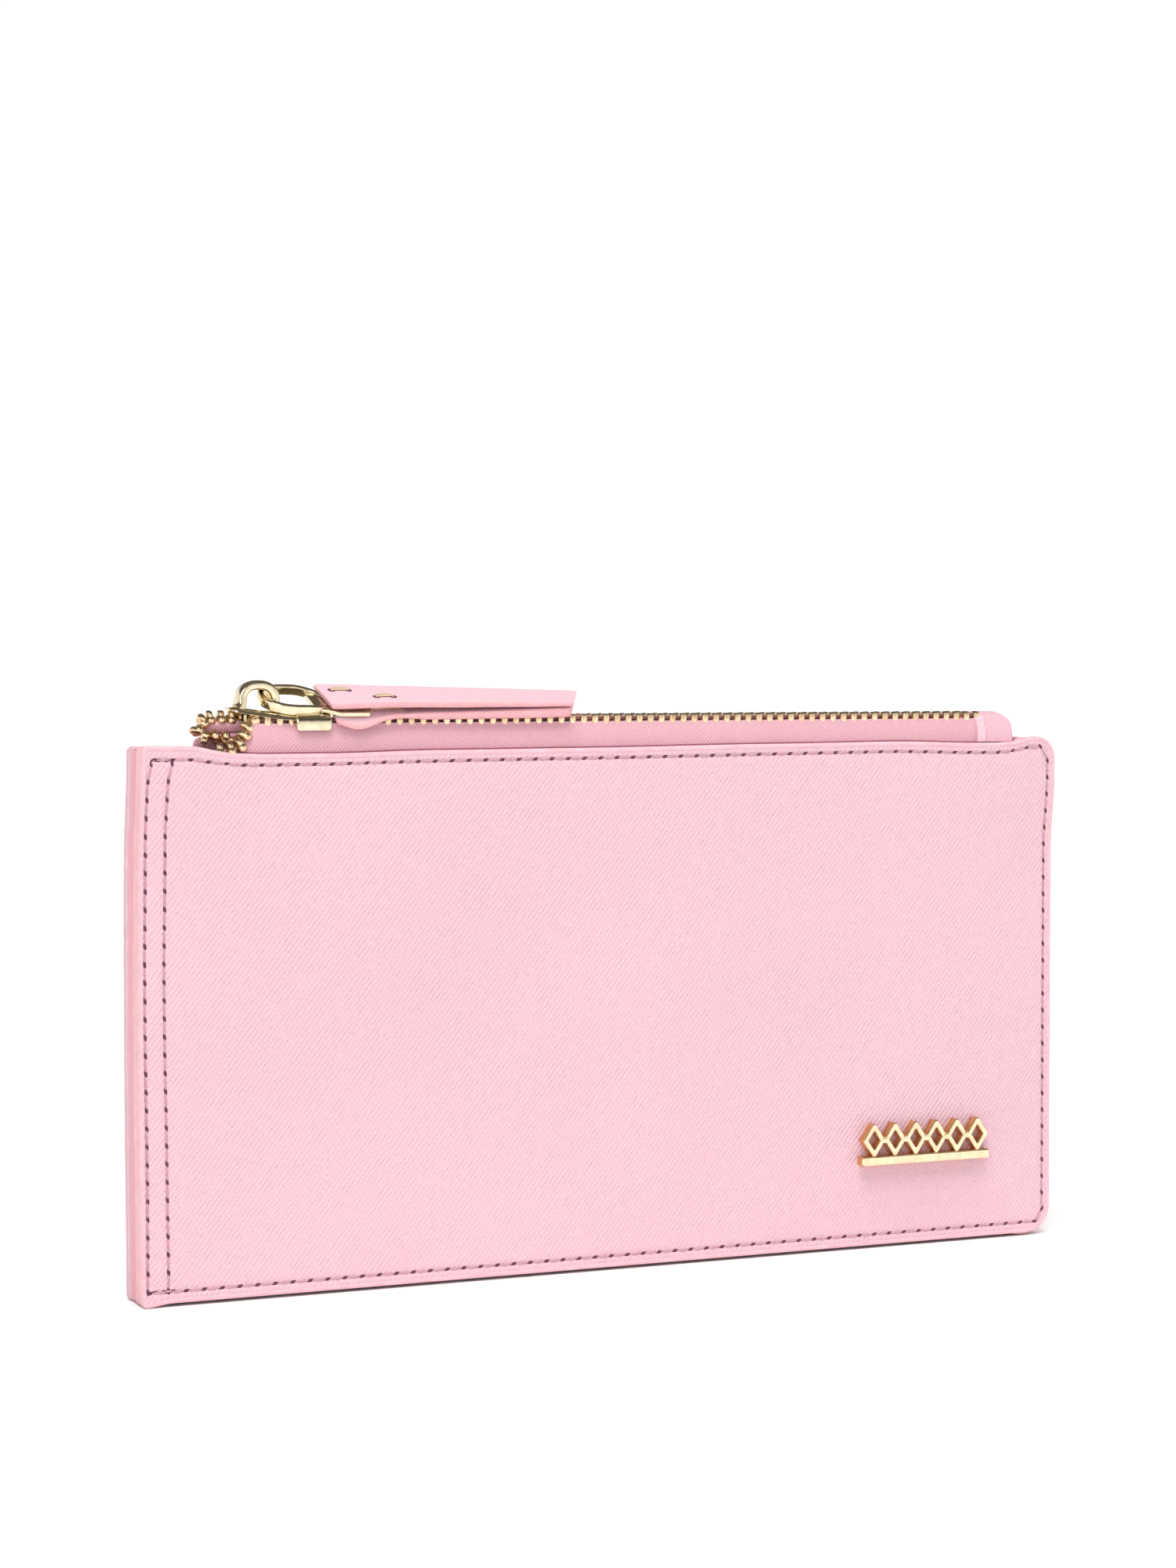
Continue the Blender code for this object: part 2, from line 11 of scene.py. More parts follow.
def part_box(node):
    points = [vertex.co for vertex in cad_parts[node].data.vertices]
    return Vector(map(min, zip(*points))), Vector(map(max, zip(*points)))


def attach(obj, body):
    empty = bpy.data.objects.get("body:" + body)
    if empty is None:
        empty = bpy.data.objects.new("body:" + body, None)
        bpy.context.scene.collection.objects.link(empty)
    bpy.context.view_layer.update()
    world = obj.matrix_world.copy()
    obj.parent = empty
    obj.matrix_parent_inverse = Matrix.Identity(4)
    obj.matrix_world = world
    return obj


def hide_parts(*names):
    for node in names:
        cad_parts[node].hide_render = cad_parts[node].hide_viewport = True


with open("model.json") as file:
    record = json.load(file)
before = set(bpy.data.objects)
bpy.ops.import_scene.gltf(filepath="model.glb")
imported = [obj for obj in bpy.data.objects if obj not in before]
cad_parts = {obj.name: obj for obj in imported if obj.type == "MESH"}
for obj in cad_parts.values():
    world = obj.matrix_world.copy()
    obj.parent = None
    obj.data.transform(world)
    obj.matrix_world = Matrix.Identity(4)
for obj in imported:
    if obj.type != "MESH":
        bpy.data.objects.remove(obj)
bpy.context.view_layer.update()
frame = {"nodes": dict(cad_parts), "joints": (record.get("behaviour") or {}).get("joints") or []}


def cad(node):
    """Lowest and highest corner of a CAD node."""
    low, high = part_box(node)
    return low * 1000, high * 1000


# Places that the frame gives
wall_low, wall_high = cad("front_panel")
HALF = wall_high.x                  # half the length
TOP = wall_high.z                   # nominal height of the walls
OUT_Y = -wall_low.y                 # outer face of a wall, from the middle plane
SKIN_Y = -wall_high.y               # inner face of its leather
BOARD_Y = -cad("front_board")[0].y
GUSSET_Y = cad("gusset_left")[1].y
TAPE_FOOT = cad("zip_tape_front")[0].z + 2  # the tapes end this low inside the walls
tab_low, tab_high = cad("zip_end_tab")
plate_low, plate_high = cad("slider_body")
crown_low, crown_high = cad("slider_crown")
badge_low, badge_high = cad("badge")
PIVOT = Vector(next(joint for joint in frame["joints"] if joint["name"] == "pull_swing")["pos_m"]) * 1000

# Walls
SHEET_HALF = 0.16                   # half the thickness of a lining
SHEET_WAVE = 0.05                   # how far it waves
RIGHT_ROUND = 4.8                   # corner radii: top right, bottom right, left
LOW_ROUND = 6.8
LEFT_ROUND = 1.2
EDGE_ROUND = 0.6                    # rounding of the leather's edge
PAINT = 0.95                        # width of the painted lip
ROW_IN = 2.05                       # stitch row, in from the top and the right end
ROW_LOW = 2.95                      # stitch row above the base
ROW_LOW_ROUND = 1.7                 # its corner at the bottom right
ROW_DIP = [(-92, 0.6), (-80, 0.15), (-70, 0)]  # the top row runs lower near the left end
STITCH = 3.55                       # pitch of the stitches: round the edge
COLUMN_STITCH = 3.4                 # in the two columns
TACK_STITCH = 1.7                   # and in the short rows that join the columns
HOLE_LONG, HOLE_WIDE = 0.78, 0.33   # half sizes of a needle hole
HOLLOW = 0.62                       # the base line is hollow between its two ends
LEFT_BOW = 0.3                      # the left edge bows out at mid height
LEFT_LEAN = 0.45                    # and leans in at its top
RIGHT_LEAN = 0.9                    # the right end leans out near its top
BULGE = 0.28                        # the leather stands out in the middle of a wall
ROW_SUNK = 0.20                     # and sinks at a stitch row
FRONT_LIP = [
    (-100, 1.0), (-90, 0.9), (-82, -0.5), (-76, -0.8), (-62, -0.8), (-40, -0.4), (-10, -0.3),
    (36, 0.1), (63, 0.3), (82, -0.15), (89, -0.15), (95, 1.1), (100, 1.2),
]
BACK_LIP = [(-100, 0.7), (-60, 0.2), (60, 0.4), (90, 1.1), (100, 1.0)]
FIRST_COLUMN = [(3.5, -98.9), (20, -98.9), (60, -99.3), (90, -99.0), (99, -98.5), (103.5, -97.7)]
SECOND_COLUMN = [(3.5, -94.9), (20, -95.1), (60, -95.6), (90, -95.2), (99, -94.6), (103.5, -93.7)]

# Zip
TEETH_Z = 110.6                     # middle of the teeth
PITCH = 2.45
TEETH_DEEP = 1.45                   # the teeth reach this much further down than up
BEAD_Y = 2.35                       # the tape's corded edge
TAPE_Y = 3.82                       # the tape inside the wall
CHAIN_RIGHT_X = 83.4
CHAIN_STRAIGHT_X = -76.0            # left of this the rows leave the slider and turn down

# Slider and pull
PLATE = 0.8
PLATE_WIDTHS = [
    (0, 3.7), (0.06, 4.25), (0.3, 4.4), (0.5, 4.2), (0.7, 3.6), (0.88, 3.4), (0.95, 3.0), (1, 1.9),
]
PLATE_CREST = [(0, 112.4), (0.35, 112.32), (0.6, 112.4), (1, 113.1)]
PLATE_DROP = 1.7
RING_HALF_LENGTH = 6.55
RING_HALF_WIDTH = 4.6
RING_DROP = [(0, 0.0), (7, -0.3), (13, -0.9)]
RING_ROLL = 25
PULL_WIDTH = 12.0
BADGE_DEEPER = 1.3                  # the ornament stands this much prouder than its CAD block
LOZENGE_TIP = 0.93                  # height of a lozenge's blunt tip, as a share of its half height
# Along the pull, from its pivot: roll in degrees, then the underside and the thickness of each layer
PLY_ROLL = [(0, 22), (12, 19.6), (29, 16), (50, 14), (67, 12.2)]
TONGUE_ROLL = 22.5
TONGUE_MIDDLE = [(12, -0.7), (15, -1.0), (28, -1.0)]
UPPER_UNDER = [(12, -0.2), (17, -0.2), (29, -0.3), (39, -0.45), (50, -0.52), (67, -0.58)]
UPPER_THICK = [(12, 1.2), (42, 1.15), (67, 0.75)]
LOWER_UNDER = [(13, -2.38), (27, -2.42), (33, -2.74), (39, -2.77), (63, -2.68)]
LOWER_THICK = [(13, 0.88), (27, 0.95), (33, 1.42), (39, 1.5), (63, 1.85)]
END_SKEW = 2.65                     # the free ends are cut at a slant: the far corner is longer


# Tools

def blend(stops, x):
    """Smooth value at x between (x, value) stops."""
    if x <= stops[0][0]:
        return stops[0][1]
    for (x0, v0), (x1, v1) in zip(stops, stops[1:]):
        if x <= x1:
            t = (x - x0) / (x1 - x0)
            return v0 + (v1 - v0) * t * t * (3 - 2 * t)
    return stops[-1][1]


def clamp(value):
    """The value, kept between 0 and 1."""
    return min(1.0, max(0.0, value))


def ease(x, low, high):
    """0 below low, 1 above high, smooth between."""
    t = clamp((x - low) / (high - low))
    return t * t * (3 - 2 * t)


def hump(distance, width):
    """1 at no distance, falling off smoothly over a width."""
    return exp(-(distance / width) ** 2)


def wander(x, z, size, seed=0.0):
    """Slow noise from -1 to 1 with features of a given size."""
    return noise.noise(Vector((x / size, z / size, seed)))


def spline(points, steps=8):
    """A smooth run of points through a few given ones."""
    knots = [Vector(p) for p in points]
    knots = [2 * knots[0] - knots[1]] + knots + [2 * knots[-1] - knots[-2]]
    run = []
    for a, b, c, d in zip(knots, knots[1:], knots[2:], knots[3:]):
        for i in range(steps):
            t = i / steps
            run.append(0.5 * (
                2 * b + (c - a) * t + (2 * a - 5 * b + 4 * c - d) * t * t + (3 * b - a - 3 * c + d) * t ** 3
            ))
    return run + [knots[-2]]


def walk(run, pitch):
    """Places at an even pitch along a run of points."""
    lengths = [0.0]
    for a, b in zip(run, run[1:]):
        lengths.append(lengths[-1] + (Vector(b) - Vector(a)).length)
    count = max(1, round(lengths[-1] / pitch))
    places, k = [], 0
    for i in range(count + 1):
        target = lengths[-1] * i / count
        while k < len(run) - 2 and lengths[k + 1] < target:
            k += 1
        t = (target - lengths[k]) / max(1e-9, lengths[k + 1] - lengths[k])
        places.append(Vector(run[k]).lerp(Vector(run[k + 1]), t))
    return places


def stations(low, high, near_low, near_high, step, count=None):
    """Places from low to high: given distances in from each end, then even steps between."""
    first = [low + inset for inset in near_low]
    last = [high - inset for inset in reversed(near_high)]
    count = count or max(1, round((last[0] - first[-1]) / step))
    middle = [first[-1] + (last[0] - first[-1]) * i / count for i in range(1, count)]
    return first + middle + last


AXIS_X, AXIS_Y, AXIS_Z = Vector((1, 0, 0)), Vector((0, 1, 0)), Vector((0, 0, 1))


def turned(degrees):
    """Cosine and sine of an angle."""
    return cos(radians(degrees)), sin(radians(degrees))


def signed(value, power):
    """A value raised to a power, with its sign kept."""
    return copysign(abs(value) ** power, value)


def oval(centre, across, up, wide, tall, count=16, power=1.0):
    """A ring of points round a centre; a power below 1 squares it off."""
    ring = []
    for k in range(count):
        c, s = turned(360 * k / count)
        ring.append(centre + across * wide * signed(c, power) + up * tall * signed(s, power))
    return ring


def heading(line, i):
    """Direction of a line of points at one of them."""
    return (line[min(i + 1, len(line) - 1)] - line[max(i - 1, 0)]).normalized()


def put(name, data, aim=None):
    """A new object in the scene, looking along a direction if one is given."""
    made = bpy.data.objects.new(name, data)
    bpy.context.scene.collection.objects.link(made)
    if aim:
        made.rotation_mode = "QUATERNION"
        made.rotation_quaternion = aim.to_track_quat("-Z", "Y")
    return made


class Shape:
    """Points and faces gathered into one mesh."""

    def __init__(self):
        self.points = []
        self.faces = []
        self.looks = []

    def add(self, points, faces, looks=0):
        """Adds faces over new points, with one look or one for each face."""
        start = len(self.points)
        self.points += [Vector(p) for p in points]
        self.faces += [tuple(start + i for i in face) for face in faces]
        self.looks += looks if isinstance(looks, list) else [looks] * len(faces)

    def loft(self, rings, closed=False, looks=0, cap_look=None):
        """Skins a run of equal rings; looks may be a list, one for each side of a ring."""
        count = len(rings[0])
        steps = len(rings) if closed else len(rings) - 1
        faces, faces_look = [], []
        for row in range(steps):
            here, there = row * count, (row + 1) % len(rings) * count
            for i in range(count):
                j = (i + 1) % count
                faces.append((here + i, here + j, there + j, there + i))
                faces_look.append(looks[i] if isinstance(looks, list) else looks)
        if not closed:
            last = (len(rings) - 1) * count
            faces += [tuple(reversed(range(count))), tuple(range(last, last + count))]
            cap = faces_look[0] if cap_look is None else cap_look
            faces_look += [cap, cap]
        self.add([p for ring in rings for p in ring], faces, faces_look)
        return self

    def layer(self, grid):
        """A closed layer over a grid of pairs, each an outer and an inner point."""
        rows, columns = len(grid), len(grid[0])
        size = rows * columns

        def at(row, column):
            return row * columns + column

        faces = []
        for row in range(rows - 1):
            for column in range(columns - 1):
                quad = at(row, column), at(row, column + 1), at(row + 1, column + 1), at(row + 1, column)
                faces += [quad, tuple(size + i for i in reversed(quad))]
        border = [at(0, c) for c in range(columns)]
        border += [at(r, columns - 1) for r in range(1, rows)]
        border += [at(rows - 1, c) for c in range(columns - 2, -1, -1)]
        border += [at(r, 0) for r in range(rows - 2, 0, -1)]
        for a, b in zip(border, border[1:] + border[:1]):
            faces.append((b, a, size + a, size + b))
        self.add([pair[face] for face in (0, 1) for row in grid for pair in row], faces)
        return self

    def made(self, name, looks, body, slot, replaces=(), smooth=40):
        """The finished piece, riding on its body."""
        mesh = bpy.data.meshes.new(name)
        mesh.from_pydata([p * 0.001 for p in self.points], [], self.faces)
        for look in looks:
            mesh.materials.append(look)
        mesh.polygons.foreach_set("material_index", self.looks)
        work = bmesh.new()
        work.from_mesh(mesh)
        bmesh.ops.recalc_face_normals(work, faces=work.faces)
        work.to_mesh(mesh)
        work.free()
        mesh.shade_smooth()
        mesh.set_sharp_from_angle(angle=radians(smooth))
        piece = put(name, mesh)
        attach(piece, body)
        if replaces:
            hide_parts(*replaces)
        return piece


def paint_faces(piece, rule):
    """Gives each face the look that a rule names for its middle, in millimetres."""
    for face in piece.data.polygons:
        face.material_index = rule(face.center * 1000)


# Materials

class Nodes:
    """Adds nodes to a tree."""

    def __init__(self, tree):
        self.tree = tree

    def node(self, kind, settings=(), **inputs):
        """A node with its settings, and its inputs as values or as links."""
        made = self.tree.nodes.new(kind)
        for key, value in dict(settings).items():
            setattr(made, key, value)
        for key, value in inputs.items():
            socket = made.inputs[int(key[1:]) if key[1:].isdigit() else key.replace("_", " ")]
            if isinstance(value, bpy.types.NodeSocket):
                self.tree.links.new(value, socket)
            else:
                socket.default_value = value
        return made

    def math(self, operation, a, b=0.0):
        """A Math node's result."""
        return self.node("ShaderNodeMath", {"operation": operation}, i0=a, i1=b).outputs[0]

    def plus(self, a, b, share):
        """One value, and a share of another."""
        return self.math("ADD", a, self.math("MULTIPLY", b, share))

    def span(self, source, low, high, start=0.0, end=1.0):
        """A value spread from one range to another."""
        ranges = dict(From_Min=start, From_Max=end, To_Min=low, To_Max=high)
        return self.node("ShaderNodeMapRange", Value=source, **ranges).outputs[0]


class Look(Nodes):
    """A material whose nodes are added by kind; plain values go straight on the shader."""

    def __init__(self, name, **sockets):
        self.material = bpy.data.materials.new(name)
        self.material.use_nodes = True
        super().__init__(self.material.node_tree)
        self.shader = self.tree.nodes["Principled BSDF"]
        for socket, value in sockets.items():
            self.shader.inputs[socket.replace("_", " ")].default_value = value
        self.place = self.node("ShaderNodeTexCoord").outputs["Object"]

    def flat(self, turn):
        """Coordinates on the face, whichever way it lies: along X, and up or across, turned."""
        split = self.node("ShaderNodeSeparateXYZ", Vector=self.place).outputs
        across = self.math("ADD", split["Z"], split["Y"])
        along = self.plus(split["X"], split["Y"], 0.35)
        joined = self.node("ShaderNodeCombineXYZ", X=along, Y=across).outputs[0]
        angle = (0.0, 0.0, radians(turn))
        return self.node("ShaderNodeMapping", Vector=joined, Rotation=angle).outputs[0]

    def noise(self, size, detail=2.0, place=None):
        """Noise with features of a size in millimetres."""
        inputs = dict(Vector=place or self.place, Scale=1000.0 / size, Detail=detail)
        return self.node("ShaderNodeTexNoise", **inputs).outputs["Fac"]

    def waves(self, pitch, turn, distortion=0.0, detail_scale=1.0):
        """Ridges of a pitch in millimetres, lying at an angle on the face."""
        found = self.node(
            "ShaderNodeTexWave", {"wave_type": "BANDS", "bands_direction": "X"}, Vector=self.flat(turn),
            Scale=pi / 10 * 1000 / pitch, Distortion=distortion, Detail=2.0, Detail_Scale=detail_scale,
        )
        return found.outputs["Fac"]

    def stretched(self, along):
        """Coordinates squeezed along X, so that what is laid on them is drawn out."""
        return self.node("ShaderNodeMapping", Vector=self.place, Scale=(along, 1.0, 1.0)).outputs[0]

    def mix(self, share, first, second):
        """Two colours mixed."""
        colours = dict(i6=(*first, 1.0), i7=(*second, 1.0))
        return self.node("ShaderNodeMix", {"data_type": "RGBA"}, i0=share, **colours).outputs[2]

    def finish(self, colour, roughness, height=None, depth=0.1):
        """Links colour, roughness and a bump of a depth in millimetres."""
        self.tree.links.new(colour, self.shader.inputs["Base Color"])
        self.tree.links.new(roughness, self.shader.inputs["Roughness"])
        if height is not None:
            bump = self.node("ShaderNodeBump", Height=height, Distance=depth * 0.001, Strength=1.0)
            self.tree.links.new(bump.outputs[0], self.shader.inputs["Normal"])
        return self.material


def leather(name, bright, deep, grain=1.0):
    """Saffiano: pressed diagonal ridges, cut across by finer ones."""
    look = Look(name, Specular_IOR_Level=0.42, Coat_Weight=0.06, Coat_Roughness=0.35)
    long_ridges = look.waves(0.86, 38, 1.1, 2.4)
    short_ridges = look.waves(0.62, -49, 1.2, 2.8)
    patches = look.span(look.noise(1.7, 1.0), 0.55, 1.0, 0.35, 0.65)
    ridges = look.math("MULTIPLY", look.math("MULTIPLY", long_ridges, patches), 0.7)
    height = look.plus(look.plus(ridges, short_ridges, 0.4), look.noise(0.25), 0.2)
    clouds = look.math("MULTIPLY", look.noise(45.0, 1.0), 0.6)
    tone = look.plus(clouds, look.span(height, 0.5, 0.0), 0.5 * grain)
    colour = look.mix(look.span(tone, 0.0, 1.0, 0.15, 0.95), bright, deep)
    return look.finish(colour, look.span(height, 0.58, 0.46), height, 0.16 * grain)


def edge_paint(name, bright, deep):
    """Rubbed-on edge paint: smooth, a little uneven."""
    look = Look(name, Coat_Weight=0.12, Coat_Roughness=0.25)
    cloud = look.noise(2.4, 3.0)
    colour = look.mix(look.span(cloud, 0.0, 1.0, 0.3, 0.7), bright, deep)
    height = look.plus(look.noise(0.9), look.noise(0.2), 0.25)
    return look.finish(colour, look.span(cloud, 0.36, 0.5), height, 0.05)


def twill(name, bright, deep, pitch, turn, depth):
    """Woven cloth with a diagonal rib."""
    look = Look(name, Sheen_Weight=0.25, Sheen_Roughness=0.5, Specular_IOR_Level=0.25)
    ribs = look.waves(pitch, turn, 0.6, 3.0)
    yarns = look.waves(pitch * 0.6, turn - 78, 0.8, 3.0)
    fuzz = look.noise(0.12)
    height = look.plus(look.plus(ribs, yarns, 0.45), fuzz, 0.3)
    tone = look.plus(look.span(height, 0.75, 0.0, 0.1, 1.3), look.noise(9.0), 0.35)
    return look.finish(look.mix(tone, bright, deep), look.span(fuzz, 0.72, 0.9), height, depth)


def metal(name, bright, deep, roughness, wear=0.5, metallic=1.0):
    """Plated metal: faint clouding, hairline scratches and a slightly wavy polish."""
    look = Look(name, Metallic=metallic)
    cloud = look.noise(1.6, 3.0)
    scratches = look.span(look.noise(0.09, 2.0, look.stretched(0.12)), 0.0, 1.0, 0.52, 0.72)
    tone = look.plus(look.span(cloud, 0.0, 0.75, 0.35, 0.75), scratches, 0.3 * wear)
    rough = look.plus(look.span(cloud, roughness, roughness + 0.08), scratches, 0.12 * wear)
    height = look.plus(look.noise(0.8, 1.0), scratches, -0.12 * wear)
    return look.finish(look.mix(tone, bright, deep), rough, height, 0.02)


def thread_look(name, bright, deep):
    """Twisted sewing thread."""
    look = Look(name, Sheen_Weight=0.3, Specular_IOR_Level=0.3)
    twist = look.waves(0.32, 52, 0.4)
    colour = look.mix(look.span(twist, 0.9, 0.1), bright, deep)
    return look.finish(colour, look.span(look.noise(0.2), 0.5, 0.7), twist, 0.05)


def fibre_board(name, bright, deep):
    """Pressed grey fibre."""
    look = Look(name)
    fibres = look.noise(0.5, 4.0, look.stretched(0.25))
    colour = look.mix(look.span(fibres, 0.0, 1.0, 0.3, 0.7), bright, deep)
    return look.finish(colour, look.span(fibres, 0.8, 0.95), fibres, 0.12)


def shadow_hole(name, bright, deep):
    """Painted shade: the dark inside of a needle hole."""
    look = Look(name, Specular_IOR_Level=0.1)
    return look.finish(look.mix(look.noise(0.3), bright, deep), look.span(look.noise(0.2), 0.8, 1.0))


SAFFIANO = leather("saffiano_pink", (0.735, 0.475, 0.54), (0.675, 0.405, 0.475))
# The strap's leather; on the tab's fold strip it is a painted highlight.
STRAP_AND_FOLD_HIGHLIGHT = leather("saffiano_strap_and_fold_highlight", (0.755, 0.49, 0.55), (0.70, 0.415, 0.485), 0.45)
TAB_LEATHER = leather("saffiano_tab", (0.70, 0.43, 0.50), (0.64, 0.36, 0.43), 0.6)
INNER_LEATHER = leather("gusset_leather", (0.72, 0.32, 0.39), (0.64, 0.26, 0.33), 0.25)
PAINTED = edge_paint("edge_paint_salmon", (0.77, 0.405, 0.425), (0.70, 0.35, 0.375))
PAINTED_LIP = edge_paint("edge_paint_lip", (0.75, 0.46, 0.52), (0.69, 0.39, 0.45))
# The back wall's edge paint; on the tab's crease it is painted shade.
PAINTED_BACK_AND_CREASE_SHADE = edge_paint("edge_paint_grey_pink_and_crease_shade", (0.66, 0.45, 0.50), (0.59, 0.39, 0.44))
TAPE_CLOTH = twill("zip_twill", (0.67, 0.385, 0.435), (0.60, 0.315, 0.37), 0.6, 40, 0.06)
# Dark twill for the tape's foot: a painted shadow where the tape comes out from behind the wall's lip.
TAPE_SHADOW = twill("zip_twill_painted_shadow", (0.42, 0.15, 0.20), (0.34, 0.11, 0.16), 0.6, 40, 0.06)
# A brighter copy of the tape's twill for the loose tape ends: painted light that lifts them out of their
# shade.
LOOSE_CLOTH_PAINTED_LIGHT = twill("loose_twill_painted_light", (0.86, 0.50, 0.58), (0.74, 0.38, 0.45), 0.5, 40, 0.08)
# The tape's corded edge, coloured dark brown as painted shade for the gaps between the teeth.
CORD_SHADE = twill("zip_cord_painted_shade", (0.30, 0.13, 0.12), (0.16, 0.06, 0.06), 0.3, 60, 0.05)
LINING = twill("lining_twill", (0.70, 0.36, 0.43), (0.52, 0.24, 0.30), 0.45, 50, 0.08)
ZIP_METAL = metal("zip_gold", (0.90, 0.72, 0.48), (0.60, 0.40, 0.21), 0.22, 1.0)
HARDWARE = metal("hardware_gold", (0.86, 0.77, 0.56), (0.64, 0.52, 0.32), 0.1)
STAPLE = metal("staple_gilt", (0.92, 0.76, 0.50), (0.74, 0.56, 0.32), 0.35, metallic=0.5)
GILT = metal("badge_gilt", (0.97, 0.80, 0.55), (0.82, 0.60, 0.34), 0.26)
# Darker orange gilt for the badge's side walls: painted shade and painted reflection.
GILT_SIDE_SHADE = metal("badge_gilt_side_painted_shade", (0.85, 0.52, 0.22), (0.62, 0.33, 0.10), 0.22)
STEEL = metal("washer_steel", (0.62, 0.61, 0.58), (0.42, 0.41, 0.40), 0.35)
THREAD = thread_look("thread_mauve", (0.66, 0.37, 0.44), (0.42, 0.20, 0.27))
# Dark look for needle and staple holes: painted shade.
HOLE_SHADE = shadow_hole("needle_hole_painted_shade", (0.16, 0.055, 0.085), (0.09, 0.03, 0.05))
BOARD = fibre_board("stiffening_board", (0.50, 0.47, 0.43), (0.36, 0.33, 0.30))


# Walls

def lip(x, side):
    """Height of a wall's top edge; it dips and rises a little along its length."""
    return TOP + blend(FRONT_LIP if side < 0 else BACK_LIP, x)


def foot(x):
    """Height of a wall's lower edge: it stands on its two ends and is a little hollow between them."""
    return HOLLOW * ease(x, -99.4, -94) * (1 - ease(x, 92, 99.5))


def left_edge(z):
    """Where the left end lies at a height."""
    return -HALF - LEFT_BOW * sin(pi * clamp(z / TOP)) + LEFT_LEAN * ease(z, 84, 102)


def right_edge(z):
    """Where the right end lies at a height."""
    return HALF + RIGHT_LEAN * ease(z, 82, 98)


def right_round(z):
    """Corner radius of the right end, below or above mid height."""
    return LOW_ROUND if z < TOP / 2 else RIGHT_ROUND


def row_round(z):
    """Corner radius of the stitch row there."""
    return ROW_LOW_ROUND if z < TOP / 2 else RIGHT_ROUND - ROW_IN


def rounded_distance(across, up, radius):
    """Distance inside a rounded corner, from the distances to its two sides."""
    if across < radius and up < radius:
        return radius - hypot(radius - across, radius - up)
    return min(across, up)


def edge_distance(x, z, side):
    """How far a point lies inside the wall's outline."""
    up = min(z - foot(x), lip(x, side) - z)
    if x > 0:
        return rounded_distance(right_edge(z) - x, up, right_round(z))
    return rounded_distance(x - left_edge(z), up, LEFT_ROUND)


def row_distance(x, z, side):
    """Distance to the stitch row that runs round the wall, or to the second column."""
    up = min(z - ROW_LOW, lip(x, side) - ROW_IN - blend(ROW_DIP, x) - z)
    if x > 0:
        ring = abs(rounded_distance(right_edge(z) - ROW_IN - x, up, row_round(z)))
    else:
        ring = abs(rounded_distance(x - blend(FIRST_COLUMN, z), up, 0.3))
    if up < 0:
        return ring
    return min(ring, abs(x - blend(SECOND_COLUMN, z)))


def relief(x, z, side):
    """How far a wall's leather stands out from its flat face."""
    inset = max(0.0, edge_distance(x, z, side))
    out = 0.0
    if inset < EDGE_ROUND:
        out -= EDGE_ROUND - sqrt(max(0.0, EDGE_ROUND ** 2 - (EDGE_ROUND - inset) ** 2))
    out += 0.05 * hump(inset - 0.6, 0.3) - 0.09 * hump(inset - PAINT - 0.05, 0.13)
    out -= ROW_SUNK * hump(row_distance(x, z, side), 0.34)
    out += 0.10 * ease(inset, 2.4, 4.0) + 0.22 * ease(inset, 3.0, 12.0)
    out += BULGE * (1 - (x / HALF) ** 2) * (1 - (2 * z / TOP - 1) ** 2)
    out += ease(inset, 2.0, 10.0) * (0.10 * wander(x, z, 42, side) + 0.035 * wander(x, z, 13, 5 + side))
    return out


NEAR_EDGE = [
    0, 0.04, 0.1, 0.18, 0.28, 0.4, 0.55, 0.75, 0.9, 1.0, 1.1, 1.3, 1.55, 1.75, 1.9, 2.05, 2.2, 2.35, 2.6,
    3.0, 3.3, 3.5, 3.7, 4.1, 4.8, 6.0,
]
NEAR_LEFT = [
    0, 0.06, 0.15, 0.28, 0.42, 0.6, 0.78, 0.92, 1.06, 1.2, 1.4, 1.7, 2.2, 3.0, 3.8, 4.3, 4.6, 4.8, 4.95, 5.1,
    5.3, 5.6, 6.2, 7.2,
]


def wall_leather(side, name, node):
    """The leather of one wall: a thick skin with a rolled, painted edge and pressed stitch lines."""
    grid = []
    for x in stations(-HALF, HALF, NEAR_LEFT, NEAR_EDGE, 3.5):
        cuts = []
        for corner in (LOW_ROUND, RIGHT_ROUND) if x > 0 else (LEFT_ROUND, LEFT_ROUND):
            reach = corner - min(corner, HALF - abs(x))
            cuts.append(corner - sqrt(max(0.0, corner ** 2 - reach ** 2)))
        row = []
        for z in stations(foot(x) + cuts[0], lip(x, side) - cuts[1], NEAR_EDGE, NEAR_EDGE, 3.5, 27):
            at = x + (left_edge(z) + HALF) * ease(-x, 90, HALF) + (right_edge(z) - HALF) * ease(x, 84, HALF)
            row.append(((at, side * (OUT_Y + relief(at, z, side)), z), (at, side * SKIN_Y, z)))
        grid.append(row)
    looks = [SAFFIANO, PAINTED_LIP]
    piece = Shape().layer(grid).made(name, looks, "pouch", "saffiano_leather", [node], smooth=60)

    def rule(middle):
        width = PAINT if middle.x > -HALF + 1.5 or middle.z > TOP - 1.5 else 0.5
        return 1 if edge_distance(middle.x, middle.z, side) < width else 0

    paint_faces(piece, rule)


